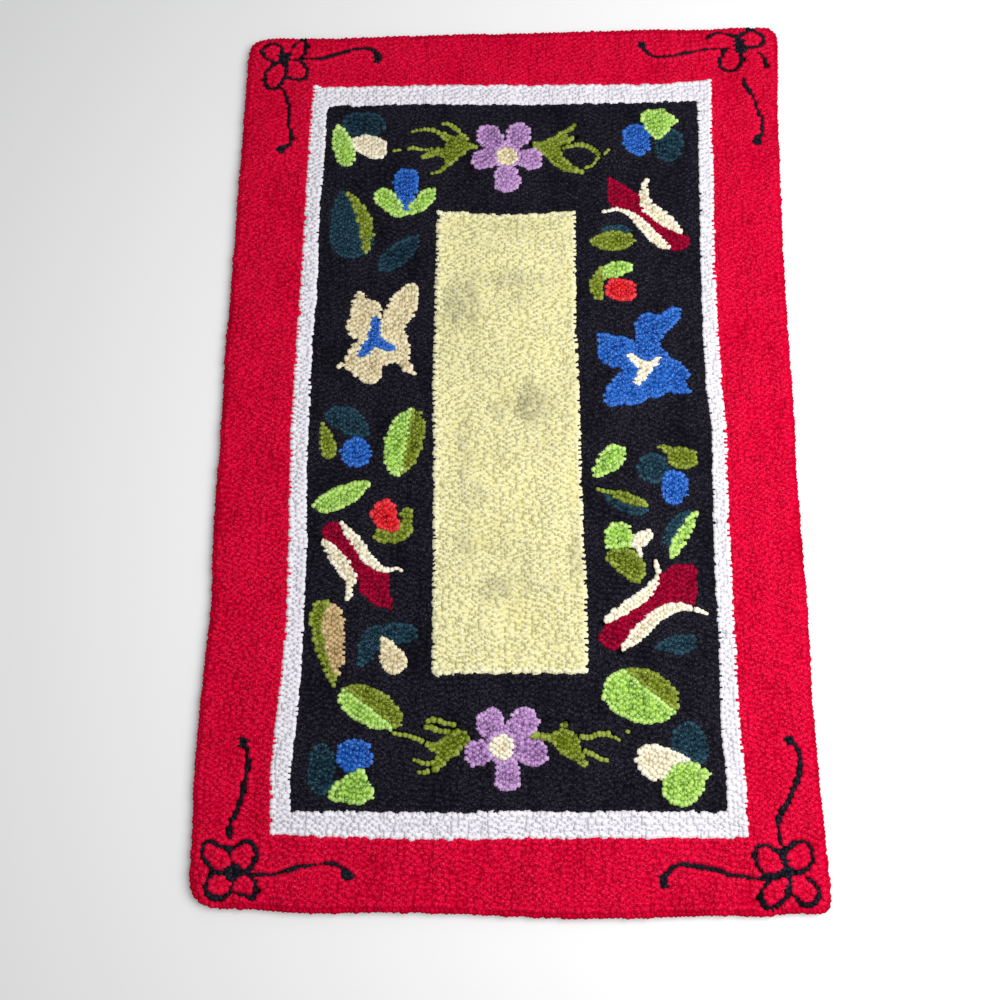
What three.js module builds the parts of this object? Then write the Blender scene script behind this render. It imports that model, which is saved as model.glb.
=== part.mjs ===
// A flat hooked pile rug: one cloth with its yarn pile, lying flat on its underside.
// Units are millimetres, +Z is up. The origin is on the underside, at the centre of the rug's box.
// +Y runs along the length of the rug, +X across its width.

import * as THREE from 'three';
import { mergeVertices } from 'three/addons/utils/BufferGeometryUtils.js';

// Driving dimensions
const WIDTH = 610;               // widest reach across the rug, pile included
const LENGTH = 950;              // longest reach along the rug, pile included
const FOUNDATION = 2;            // foundation cloth with its flat stitches underneath
const PILE = 8;                  // height of the yarn loops over the foundation
const THICKNESS = FOUNDATION + PILE;
const EDGE_ROUND = 4;            // how far the outermost loops roll over at the rim
const ROUND_STEPS = 3;           // facets across that roll
const CURVE_STEPS = 5;           // facets for each stretch between two stations of an edge

// The edges waver round a plain rectangle, which is a little smaller than the rug's reach.
const EDGE_X = 302;              // half width of the plain rectangle
const EDGE_Y = 472;              // half length of the plain rectangle

// How far each corner's rounding runs back along both of its edges.
const CORNER = { nearLeft: 32, nearRight: 15, farRight: 13, farLeft: 25 };

// Each edge as it was hooked: 'at' is the place along the edge, 'out' is how far it bulges
// outwards there (minus is inwards). 'at' is measured along X or Y from the rug's centre.
const NEAR_EDGE = [
  { at: -240, out: -1.5 },
  { at: -185, out: 1.5 },
  { at: -90, out: -0.5 },
  { at: 0, out: 1.5 },
  { at: 60, out: 3 },
  { at: 140, out: 1 },
  { at: 205, out: -1.5 },
  { at: 245, out: -1 },
  { at: 268, out: -4 },
];
const RIGHT_EDGE = [
  { at: -430, out: 3 },
  { at: -380, out: 0.5 },
  { at: -270, out: -3 },
  { at: -200, out: -2 },
  { at: -50, out: -4.5 },
  { at: 10, out: -3.5 },
  { at: 100, out: -4.5 },
  { at: 200, out: -4.5 },
  { at: 300, out: -2.5 },
  { at: 380, out: -1 },
  { at: 440, out: 3 },
];
const FAR_EDGE = [
  { at: 270, out: 3 },
  { at: 200, out: 2 },
  { at: 150, out: 3 },
  { at: 0, out: 1.5 },
  { at: -60, out: 2 },
  { at: -200, out: 0 },
  { at: -250, out: 1.5 },
];
const LEFT_EDGE = [
  { at: 390, out: -2 },
  { at: 300, out: -1.5 },
  { at: 150, out: 0 },
  { at: 80, out: 1.5 },
  { at: 0, out: 0 },
  { at: -90, out: 1 },
  { at: -180, out: -2 },
  { at: -260, out: 1.5 },
  { at: -350, out: 3 },
  { at: -405, out: 1 },
];

// The four edges in order round the rug, seen from above: which way each runs, which way is
// outwards, how far out the plain rectangle lies, and the corner at its end.
const EDGES = [
  { along: [1, 0], outward: [0, -1], reach: EDGE_Y, stations: NEAR_EDGE, corner: CORNER.nearRight },
  { along: [0, 1], outward: [1, 0], reach: EDGE_X, stations: RIGHT_EDGE, corner: CORNER.farRight },
  { along: [-1, 0], outward: [0, 1], reach: EDGE_Y, stations: FAR_EDGE, corner: CORNER.farLeft },
  { along: [0, -1], outward: [-1, 0], reach: EDGE_X, stations: LEFT_EDGE, corner: CORNER.nearLeft },
];

/** The stations of one edge as points, from its start corner to its end corner. */
function edgePoints(edge, previous, next) {
  const onAxis = edge.along[0] !== 0 ? 'x' : 'y';
  const direction = onAxis === 'x' ? edge.along[0] : edge.along[1];
  const first = edge.stations[0].out;
  const last = edge.stations[edge.stations.length - 1].out;
  const start = { at: direction * (previous.corner - previous.next), out: first };
  const end = { at: direction * (next - edge.corner), out: last };
  return [start, ...edge.stations, end].map(({ at, out }) => {
    const across = (edge.reach + out) * (edge.outward[0] + edge.outward[1]);
    return onAxis === 'x' ? new THREE.Vector2(at, across) : new THREE.Vector2(across, at);
  });
}

/** The rug's outline: four wavering edges joined by rounded corners. */
function rugOutline() {
  const count = EDGES.length;
  const sides = EDGES.map((edge, index) => {
    const before = EDGES[(index + count - 1) % count];
    const after = EDGES[(index + 1) % count];
    return edgePoints(edge, { corner: before.corner, next: before.reach }, after.reach);
  });
  const shape = new THREE.Shape();
  shape.moveTo(sides[0][0].x, sides[0][0].y);
  sides.forEach((points, index) => {
    shape.splineThru(points.slice(1));
    const end = points[points.length - 1];
    const begin = sides[(index + 1) % count][0];
    const tip = EDGES[index].along[0] !== 0
      ? new THREE.Vector2(begin.x, end.y)
      : new THREE.Vector2(end.x, begin.y);
    shape.quadraticCurveTo(tip.x, tip.y, begin.x, begin.y);
  });
  return shape;
}

/** The rug's body: its outline raised to the full thickness, with a rolled rim. */
function rugGeometry() {
  const body = new THREE.ExtrudeGeometry(rugOutline(), {
    depth: THICKNESS - 2 * EDGE_ROUND,
    curveSegments: CURVE_STEPS,
    bevelEnabled: true,
    bevelThickness: EDGE_ROUND,
    bevelSize: EDGE_ROUND,
    bevelOffset: -EDGE_ROUND,
    bevelSegments: ROUND_STEPS,
  });
  body.deleteAttribute('normal');
  body.deleteAttribute('uv');
  const closed = mergeVertices(body);
  closed.computeBoundingBox();
  const size = closed.boundingBox.getSize(new THREE.Vector3());
  closed.center();
  closed.scale(WIDTH / size.x, LENGTH / size.y, THICKNESS / size.z);
  closed.translate(0, 0, THICKNESS / 2);
  closed.computeVertexNormals();
  return closed;
}

const RED_YARN = new THREE.MeshStandardMaterial({ color: 0xc8102e, roughness: 0.95, metalness: 0 });

const rug = new THREE.Mesh(rugGeometry(), RED_YARN);
rug.name = 'rug';

const group = new THREE.Group();
group.add(rug);

export default group;
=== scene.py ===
"""A flat hooked pile rug: flowers and leaves on black, inside a white band and a red border.

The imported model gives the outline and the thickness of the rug. Each loop of yarn is a small mesh of
its own, hooked in rows that run the length of the rug, and the loops of one yarn are joined into one
piece. Objects are in metres. The drawing and the hooking are worked out in millimetres from the
rug's centre, with +X across the rug and +Y along it, and turned into metres when a mesh is made.
"""

import logging
import math
from dataclasses import dataclass, field, replace
from enum import Enum, IntEnum
from typing import Protocol, Sequence

import bmesh
import bpy
import numpy as np
from bmesh.types import BMesh, BMVert
from bpy.types import Material, Mesh, NodeSocket, Object, ShaderNode, ShaderNodeTree
from mathutils import Matrix, Vector


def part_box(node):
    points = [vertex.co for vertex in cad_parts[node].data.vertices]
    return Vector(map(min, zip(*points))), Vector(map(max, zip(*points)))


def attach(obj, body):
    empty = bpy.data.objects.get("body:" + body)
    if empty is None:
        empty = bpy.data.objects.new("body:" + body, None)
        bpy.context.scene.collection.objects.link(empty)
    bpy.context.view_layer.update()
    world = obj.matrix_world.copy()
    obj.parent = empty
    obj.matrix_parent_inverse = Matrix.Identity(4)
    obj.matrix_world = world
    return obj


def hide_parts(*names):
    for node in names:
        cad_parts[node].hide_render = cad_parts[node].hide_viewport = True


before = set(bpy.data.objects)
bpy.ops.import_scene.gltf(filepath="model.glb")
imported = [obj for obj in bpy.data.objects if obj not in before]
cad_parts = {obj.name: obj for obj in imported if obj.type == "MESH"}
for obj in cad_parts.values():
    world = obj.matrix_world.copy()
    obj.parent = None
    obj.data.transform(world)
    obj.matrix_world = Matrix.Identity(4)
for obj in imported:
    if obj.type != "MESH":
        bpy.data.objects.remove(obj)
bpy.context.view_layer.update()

RUG_NODE = "rug"
BODY = "root"
MM = 0.001
HAIR = 1e-6  # metres apart that count as the same place
FULL_TURN = 2 * math.pi

log = logging.getLogger("rug")

Array = np.ndarray
Point = tuple[float, float]
Box = tuple[float, float, float, float]
Place = tuple[float, float, float]
Line = tuple[Place, ...]  # rows of x, y and the line's width there
Colour = tuple[float, float, float, float]
Value = object  # a number, a colour or a socket, whichever a shader's socket takes


def linear(code: str) -> Colour:
    """Turns a colour of six hexadecimal digits into a shader's linear red, green, blue and 1 for opaque."""
    parts = [int(code[i:i + 2], 16) / 255 for i in (0, 2, 4)]
    return (*(p / 12.92 if p <= 0.04045 else ((p + 0.055) / 1.055) ** 2.4 for p in parts), 1)


class Seed(IntEnum):
    """Where the random draws of each kind of work start, so that every run gives the same rug."""

    STITCHES = 3
    LONG_ROWS = 17
    EDGE_ROW = 19
    THIN_LINES = 23

    def draws(self) -> np.random.Generator:
        """The draws themselves."""
        return np.random.default_rng(self.value)


class Ripple(Enum):
    """The smooth noises that run over the rug.

    Each has the usual distance between two crests, in millimetres, and the seed of its waves.
    """

    ROWS = (90, 11)
    TURN = (26, 21)
    FINE_TURN = (9, 22)
    RISE = (70, 31)
    FADE = (45, 41)
    STREAK = (40, 42)
    DUST = (60, 51)
    STAIN = (16, 52)

    def at(self, x: Array, y: Array) -> Array:
        """Adds up a few waves that run in different directions.

        Args:
            x: places across the rug, in millimetres.
            y: places along the rug, in millimetres.

        Returns:
            Values round 0, mostly between -1 and 1.
        """
        wavelength, seed = self.value
        waves = 7
        shortest = 0.6
        longer = 0.9
        crest = 1.6
        total = np.zeros(np.broadcast(x, y).shape)
        for angle, phase, stretch in np.random.default_rng(seed).random((waves, 3)):
            number = FULL_TURN / (wavelength * (shortest + longer * stretch))
            direction = angle * FULL_TURN
            total += np.sin(number * (x * math.cos(direction) + y * math.sin(direction)) + phase * FULL_TURN)
        return total / math.sqrt(waves / 2) / crest


# ---- Yarns ----


@dataclass(frozen=True)
class YarnFinish:
    """How one dyed wool yarn looks and how its loops stand.

    Attributes:
        slot: the record's material slot.
        glint: colour of the painted highlight, where single fibres seem to catch the light, as six
            hexadecimal digits.
        tip: colour of the loops' tips, the light end of a tone that mixes the dye's uneven take with painted
            shade.
        deep: colour down between the loops, darkened as painted shade.
        lift: how far its loops stand above the black ground, in millimetres.
        swirl: how far they turn away from their row, in degrees.
        uneven: how much the shade changes from loop to loop.
        plump: how thick its loops are, as a share of the usual.
        ridge: how much lighter the middle of a loop's crown is than its sides, as a painted highlight.
        streak: how much the shade changes from row to row.
        soil: how much dust it shows all over.
        rim: how far the loops beside another yarn pale towards the glint colour, as a painted highlight.
        sheen: weight of the wool's soft shine.
    """

    slot: str
    glint: str
    tip: str
    deep: str
    lift: float = 0.4
    swirl: float = 12.0
    uneven: float = 0.2
    plump: float = 1.12
    ridge: float = 0.3
    streak: float = 0.04
    soil: float = 0.0
    rim: float = 0.35
    sheen: float = 0.5


class Yarn(Enum):
    """The yarns that the rug is hooked with."""

    # Each yarn gives its glint colour, a painted highlight, then its tip colour, then its deep colour, which
    # carries painted shade between the loops.
    RED = YarnFinish("red_yarn", "ff3058", "d80034", "a8001e", lift=0.3, swirl=14, uneven=0.11, plump=1.45,
                     ridge=0.36, streak=0.06, rim=0.1)
    BLACK = YarnFinish("black_yarn", "403e4a", "1a1821", "0a0a0e", lift=0.0, swirl=18, uneven=0.1,
                       plump=1.4, ridge=0.24, streak=0.04, rim=0.0)
    WHITE = YarnFinish("white_yarn", "ffffff", "ebe8f0", "d4d0dc", lift=0.7, swirl=14, uneven=0.14,
                       plump=1.3, ridge=0.28)
    BUTTER = YarnFinish("butter_yarn", "fffff0", "ebe5a3", "e2da9b", lift=0.2, swirl=26, uneven=0.09,
                        plump=1.6, ridge=0.12, soil=0.05, rim=0.6)
    LIME = YarnFinish("motif_yarn", "e8ffb4", "a4d650", "40720c")
    OLIVE = YarnFinish("motif_yarn", "bac868", "6d7c16", "344004")
    TEAL = YarnFinish("motif_yarn", "4a7080", "1b3341", "08121a", lift=0.1, rim=0.15)
    BLUE = YarnFinish("motif_yarn", "6ca2fa", "1c5cb6", "042676", rim=0.2)
    VIOLET = YarnFinish("motif_yarn", "e6c6ee", "b486c0", "5a326e")
    CREAM = YarnFinish("motif_yarn", "fff8de", "e8dab0", "ac986a")
    IVORY = YarnFinish("motif_yarn", "ffffff", "f9efcd", "c2b088")
    CRIMSON = YarnFinish("motif_yarn", "b4284a", "96002a", "4c000e", rim=0.0)
    SCARLET = YarnFinish("motif_yarn", "ff6470", "e0141c", "900008")
    TAN = YarnFinish("motif_yarn", "f0daac", "ccae7c", "7c602c")


YARNS = list(Yarn)


# ---- The drawing on the cloth ----


class Shape(Protocol):
    """Anything that can be drawn on the cloth."""

    def covers(self, x: Array, y: Array, spare: float = 0.0) -> Array:
        """Says which places lie on the shape, at least a spare width inside its edge."""

    def reach(self) -> Box:
        """The least x, most x, least y and most y of the shape."""


@dataclass(frozen=True)
class Oval:
    """A ball, berry or blunt leaf.

    Attributes:
        centre: its middle.
        width: its size across, before it is turned.
        height: its size along, before it is turned.
        turn: degrees turned anticlockwise.
        squareness: 2 is an ellipse, and more is squarer.
    """

    centre: Point
    width: float
    height: float
    turn: float = 0.0
    squareness: float = 2.0

    def covers(self, x: Array, y: Array, spare: float = 0.0) -> Array:
        """Says which places lie on the oval.

        Args:
            x: places across the rug.
            y: places along the rug.
            spare: how far inside its edge they have to lie.

        Returns:
            True for each place on it.
        """
        cos, sin = math.cos(math.radians(self.turn)), math.sin(math.radians(self.turn))
        dx, dy = x - self.centre[0], y - self.centre[1]
        across = np.abs(dx * cos + dy * sin) / (self.width / 2 - spare)
        along = np.abs(dy * cos - dx * sin) / (self.height / 2 - spare)
        return across ** self.squareness + along ** self.squareness < 1

    def reach(self) -> Box:
        """A square that surely holds the oval, however it is turned."""
        r = max(self.width, self.height) * 0.75
        return (self.centre[0] - r, self.centre[0] + r, self.centre[1] - r, self.centre[1] + r)


@dataclass(frozen=True)
class Leaf:
    """A leaf, petal or bud between its stalk and its tip.

    Attributes:
        stalk: where the leaf begins.
        tip: where it ends.
        width: its greatest width.
        ends: how pointed the stalk end and the tip are: 0.5 is round and 1 is pointed.
        bow: how far its middle line bends, to the left going from stalk to tip.
    """

    stalk: Point
    tip: Point
    width: float
    ends: Point = (0.5, 0.8)
    bow: float = 0.0

    def covers(self, x: Array, y: Array, spare: float = 0.0) -> Array:
        """Says which places lie on the leaf.

        Args:
            x: places across the rug.
            y: places along the rug.
            spare: how far inside its edge they have to lie.

        Returns:
            True for each place on it.
        """
        run_x, run_y = self.tip[0] - self.stalk[0], self.tip[1] - self.stalk[1]
        length = math.hypot(run_x, run_y)
        dx, dy = x - self.stalk[0], y - self.stalk[1]
        share = np.clip((dx * run_x + dy * run_y) / length ** 2, 0, 1)
        off = (dy * run_x - dx * run_y) / length - self.bow * np.sin(math.pi * share)
        first, second = self.ends
        belly = first / (first + second)
        fullest = belly ** first * (1 - belly) ** second
        half = self.width / 2 * share ** first * (1 - share) ** second / fullest
        return np.abs(off) < half - spare

    def reach(self) -> Box:
        """A box that surely holds the leaf."""
        r = self.width / 2 + abs(self.bow)
        xs, ys = (self.stalk[0], self.tip[0]), (self.stalk[1], self.tip[1])
        return (min(xs) - r, max(xs) + r, min(ys) - r, max(ys) + r)


@dataclass(frozen=True)
class Stroke:
    """A line that swells and thins: a tendril, a stalk or the curled edge of a flower.

    Where it is thin, its loops follow the line. Where it is thick, rows of loops fill it.

    Attributes:
        stations: rows of x, y and the line's width there.
        thin: a line narrower than this, in millimetres, is thin.
        thick_only: whether the thin stretches are left out.
    """

    stations: Line
    thin: float = 7.6
    thick_only: bool = False

    def thin_runs(self) -> list[Array]:
        """The stretches along which the loops follow the line.

        Returns:
            For each stretch, rows of x, y and width.
        """
        rows = self.smooth()
        is_thin = rows[:, 2] < self.thin
        cuts = np.flatnonzero(np.diff(is_thin)) + 1
        return [run for run in np.split(rows, cuts) if run[0, 2] < self.thin and len(run) > 2]

    def smooth(self) -> Array:
        """Runs a smooth curve through the stations.

        Returns:
            Rows of x, y and width, close together along the line.
        """
        steps = 14
        rows = np.array(self.stations, float)
        padded = np.vstack([2 * rows[0] - rows[1], rows, 2 * rows[-1] - rows[-2]])
        t = np.linspace(0, 1, steps)[:, None]
        parts = []
        for a, b, c, d in zip(padded, padded[1:], padded[2:], padded[3:]):
            bend = (2 * a - 5 * b + 4 * c - d) * t ** 2 + (3 * b - 3 * c + d - a) * t ** 3
            parts.append(b + 0.5 * ((c - a) * t + bend))
        return np.vstack(parts)

    def covers(self, x: Array, y: Array, spare: float = 0.0) -> Array:
        """Says which places lie on the line.

        Args:
            x: places across the rug.
            y: places along the rug.
            spare: how far inside its edge they have to lie, where it is thick.

        Returns:
            True for each place on it.
        """
        found = np.zeros(x.shape, bool)
        for px, py, width in self.smooth():
            if not self.thick_only or width >= self.thin:
                half = width / 2 - spare * (width >= self.thin)
                found |= (x - px) ** 2 + (y - py) ** 2 < half ** 2
        return found

    def reach(self) -> Box:
        """A box that surely holds the line."""
        rows = self.smooth()
        r = rows[:, 2].max() / 2
        (x0, y0), (x1, y1) = rows[:, :2].min(0), rows[:, :2].max(0)
        return (x0 - r, x1 + r, y0 - r, y1 + r)


def left_of(start: Point, end: Point, x: Array, y: Array) -> Array:
    """How far places lie to the left of a line from start to end; it is below 0 to the right."""
    run_x, run_y = end[0] - start[0], end[1] - start[1]
    return (run_x * (y - start[1]) - run_y * (x - start[0])) / math.hypot(run_x, run_y)


@dataclass(frozen=True)
class Patch:
    """A patch with straight sides and no hollows, such as the fan of a bud.

    Attributes:
        corners: its corners, clockwise.
    """

    corners: tuple[Point, ...]

    def covers(self, x: Array, y: Array, spare: float = 0.0) -> Array:
        """Says which places lie on the patch.

        Args:
            x: places across the rug.
            y: places along the rug.
            spare: how far inside its edge they have to lie.

        Returns:
            True for each place on it.
        """
        found = np.ones(x.shape, bool)
        for start, end in zip(self.corners, self.corners[1:] + self.corners[:1]):
            found &= left_of(start, end, x, y) < -spare
        return found

    def reach(self) -> Box:
        """The box of the corners."""
        xs, ys = zip(*self.corners)
        return (min(xs), max(xs), min(ys), max(ys))


@dataclass(frozen=True)
class Half:
    """The part of a shape that lies to the left of a line, such as one side of a two-coloured leaf.

    Attributes:
        whole: the whole shape.
        start: where the line starts.
        end: where it ends.
    """

    whole: Shape
    start: Point
    end: Point

    def covers(self, x: Array, y: Array, spare: float = 0.0) -> Array:
        """Says which of the places lie on this part of the shape."""
        return self.whole.covers(x, y, spare) & (left_of(self.start, self.end, x, y) > 0)

    def reach(self) -> Box:
        """The box of the whole shape."""
        return self.whole.reach()


@dataclass(frozen=True)
class Field:
    """A large four-sided area whose sides waver a little.

    Attributes:
        left: rows of y and the side's x there, from near to far. The other sides are the same.
        right: the right side.
        near: rows of x and the side's y there, from left to right.
        far: the far side.
    """

    left: tuple[Point, ...]
    right: tuple[Point, ...]
    near: tuple[Point, ...]
    far: tuple[Point, ...]

    @staticmethod
    def side(rows: Sequence[Point], at: Array) -> Array:
        """Where a side lies at each place along it."""
        return np.interp(at, [row[0] for row in rows], [row[1] for row in rows])

    def covers(self, x: Array, y: Array, spare: float = 0.0) -> Array:
        """Says which of the places lie in the field, which is drawn as large as its rows are hooked."""
        between = (x > self.side(self.left, y)) & (x < self.side(self.right, y))
        return between & (y > self.side(self.near, x)) & (y < self.side(self.far, x))

    def reach(self) -> Box:
        """The box of the four sides."""
        return (min(r[1] for r in self.left), max(r[1] for r in self.right),
                min(r[1] for r in self.near), max(r[1] for r in self.far))


@dataclass(frozen=True)
class Motif:
    """One shape in one yarn."""

    yarn: Yarn
    shape: Shape


@dataclass(frozen=True)
class Petal:
    """One petal of a round flower: its direction in degrees, its reach and its width."""

    direction: float
    reach: float
    width: float


@dataclass(frozen=True)
class VioletFlower:
    """A flower of five round petals with a pale eye.

    Attributes:
        centre: the middle of the flower.
        petals: its petals.
        eye_yarn: the yarn of its eye.
        eye: how wide the eye is.
        heart: how wide the violet is in which the petals meet.
        petal_ends: how pointed each petal is at the heart and at its tip.
    """

    centre: Point
    petals: tuple[Petal, ...]
    eye_yarn: Yarn = Yarn.CREAM
    eye: float = 26.0
    heart: float = 34.0
    petal_ends: Point = (0.85, 0.38)

    def motifs(self) -> list[Motif]:
        """Draws the petals and then the eye.

        Returns:
            The motifs in the order in which they are drawn.
        """
        drawn = []
        for petal in self.petals:
            angle = math.radians(petal.direction)
            tip = (self.centre[0] + petal.reach * math.cos(angle),
                   self.centre[1] + petal.reach * math.sin(angle))
            drawn.append(Motif(Yarn.VIOLET, Leaf(self.centre, tip, petal.width, self.petal_ends)))
        drawn.append(Motif(Yarn.VIOLET, Oval(self.centre, self.heart, self.heart)))
        drawn.append(Motif(self.eye_yarn, Oval(self.centre, self.eye, self.eye)))
        return drawn


@dataclass(frozen=True)
class CornerFlower:
    """A flower drawn as a black line in a corner of the red border, with two tendrils.

    Attributes:
        heart: the solid middle.
        petals: the lines that go round the petals.
        tendrils: the lines that run from the flower along both borders, each to a round knot.
        knot: how much wider the knot is than the end of its line.
    """

    heart: tuple[Oval, ...]
    petals: tuple[Line, ...]
    tendrils: tuple[Line, Line]
    knot: float = 2.0

    def motifs(self) -> list[Motif]:
        """Everything of the flower, in black yarn."""
        lines = [Stroke(line) for line in (*self.petals, *self.tendrils)]
        ends = [line[-1] for line in self.tendrils]
        knots = [Oval((x, y), width + self.knot, width + self.knot) for x, y, width in ends]
        return [Motif(Yarn.BLACK, shape) for shape in (*lines, *self.heart, *knots)]


@dataclass(frozen=True)
class FanBud:
    """A long crimson bud that opens like a fan, between two cream petals that curl away.

    Attributes:
        fan: the open end.
        neck: the body, from the fan to the round end.
        curls: the two cream petals.
    """

    fan: Patch
    neck: Line
    curls: tuple[Line, Line]

    def motifs(self) -> list[Motif]:
        """Draws the crimson body and then the cream petals over its edges."""
        body = [Motif(Yarn.CRIMSON, self.fan), Motif(Yarn.CRIMSON, Stroke(self.neck))]
        return body + [Motif(Yarn.IVORY, Stroke(curl)) for curl in self.curls]


@dataclass(frozen=True)
class Lily:
    """A ragged lily with a throat of three arms in another yarn.

    Attributes:
        yarn: the yarn of the petals.
        petals: the petals, what lies between them, and their thin tips.
        throat_yarn: the yarn of the throat.
        throat: its three arms.
    """

    yarn: Yarn
    petals: tuple[Shape, ...]
    throat_yarn: Yarn
    throat: tuple[Line, Line, Line]

    def motifs(self) -> list[Motif]:
        """Draws the petals and then the throat over them."""
        petals = [Motif(self.yarn, shape) for shape in self.petals]
        return petals + [Motif(self.throat_yarn, Stroke(arm)) for arm in self.throat]


WHITE_BAND = Field(
    left=((-405, -226), (-345, -229.5), (-290, -226), (-200, -221), (-100, -223.5), (0, -226.5), (50, -226.5),
          (150, -224.5), (360, -223.5), (415, -221)),
    right=((-405, 231), (-350, 231), (-300, 227.5), (-100, 225.5), (0, 227), (50, 224.5), (150, 222.5),
           (200, 222.5), (250, 224.5), (350, 226.5), (405, 229)),
    near=((-226, -403), (-160, -404.5), (-70, -406), (0, -404.5), (100, -403), (230, -401.5)),
    far=((-222, 412), (-212, 408), (-180, 407.5), (-140, 408.5), (-70, 408.5), (0, 406.5), (100, 405.5),
         (150, 404), (180, 405), (230, 409)),
)
BLACK_FIELD = Field(
    left=((-380, -210), (-345, -211.5), (-300, -207.5), (-250, -205.5), (-150, -205.5), (-100, -206.5),
          (-50, -209.5), (0, -209.5), (100, -210.5), (150, -208.5), (250, -209.5), (300, -207.5),
          (375, -207), (385, -203)),
    right=((-380, 213), (-345, 213.5), (-300, 210.5), (-200, 212), (-150, 210.5), (-50, 212.5), (0, 214),
           (50, 209.5), (150, 208.5), (200, 210), (300, 212), (350, 213.5), (385, 212)),
    near=((-208, -382), (-100, -382), (-40, -382.5), (0, -379.5), (80, -381), (110, -379), (212, -379)),
    far=((-208, 383), (-192, 386.5), (-160, 384.5), (-80, 385.5), (-40, 383.5), (20, 382.5), (212, 383)),
)
CENTRE_PANEL = Field(
    left=((-250, -71.5), (-200, -72.5), (-100, -73.5), (0, -75.5), (50, -77), (150, -77), (254, -76.5)),
    right=((-250, 80), (-160, 80), (-100, 77), (0, 75.5), (60, 74.5), (120, 72.5), (180, 72.5), (254, 73.5)),
    near=((-74, -251), (-40, -249), (0, -248.5), (82, -248)),
    far=((-79, 252.5), (-50, 251.5), (-32, 248), (20, 246.5), (50, 248.5), (76, 250)),
)

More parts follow.
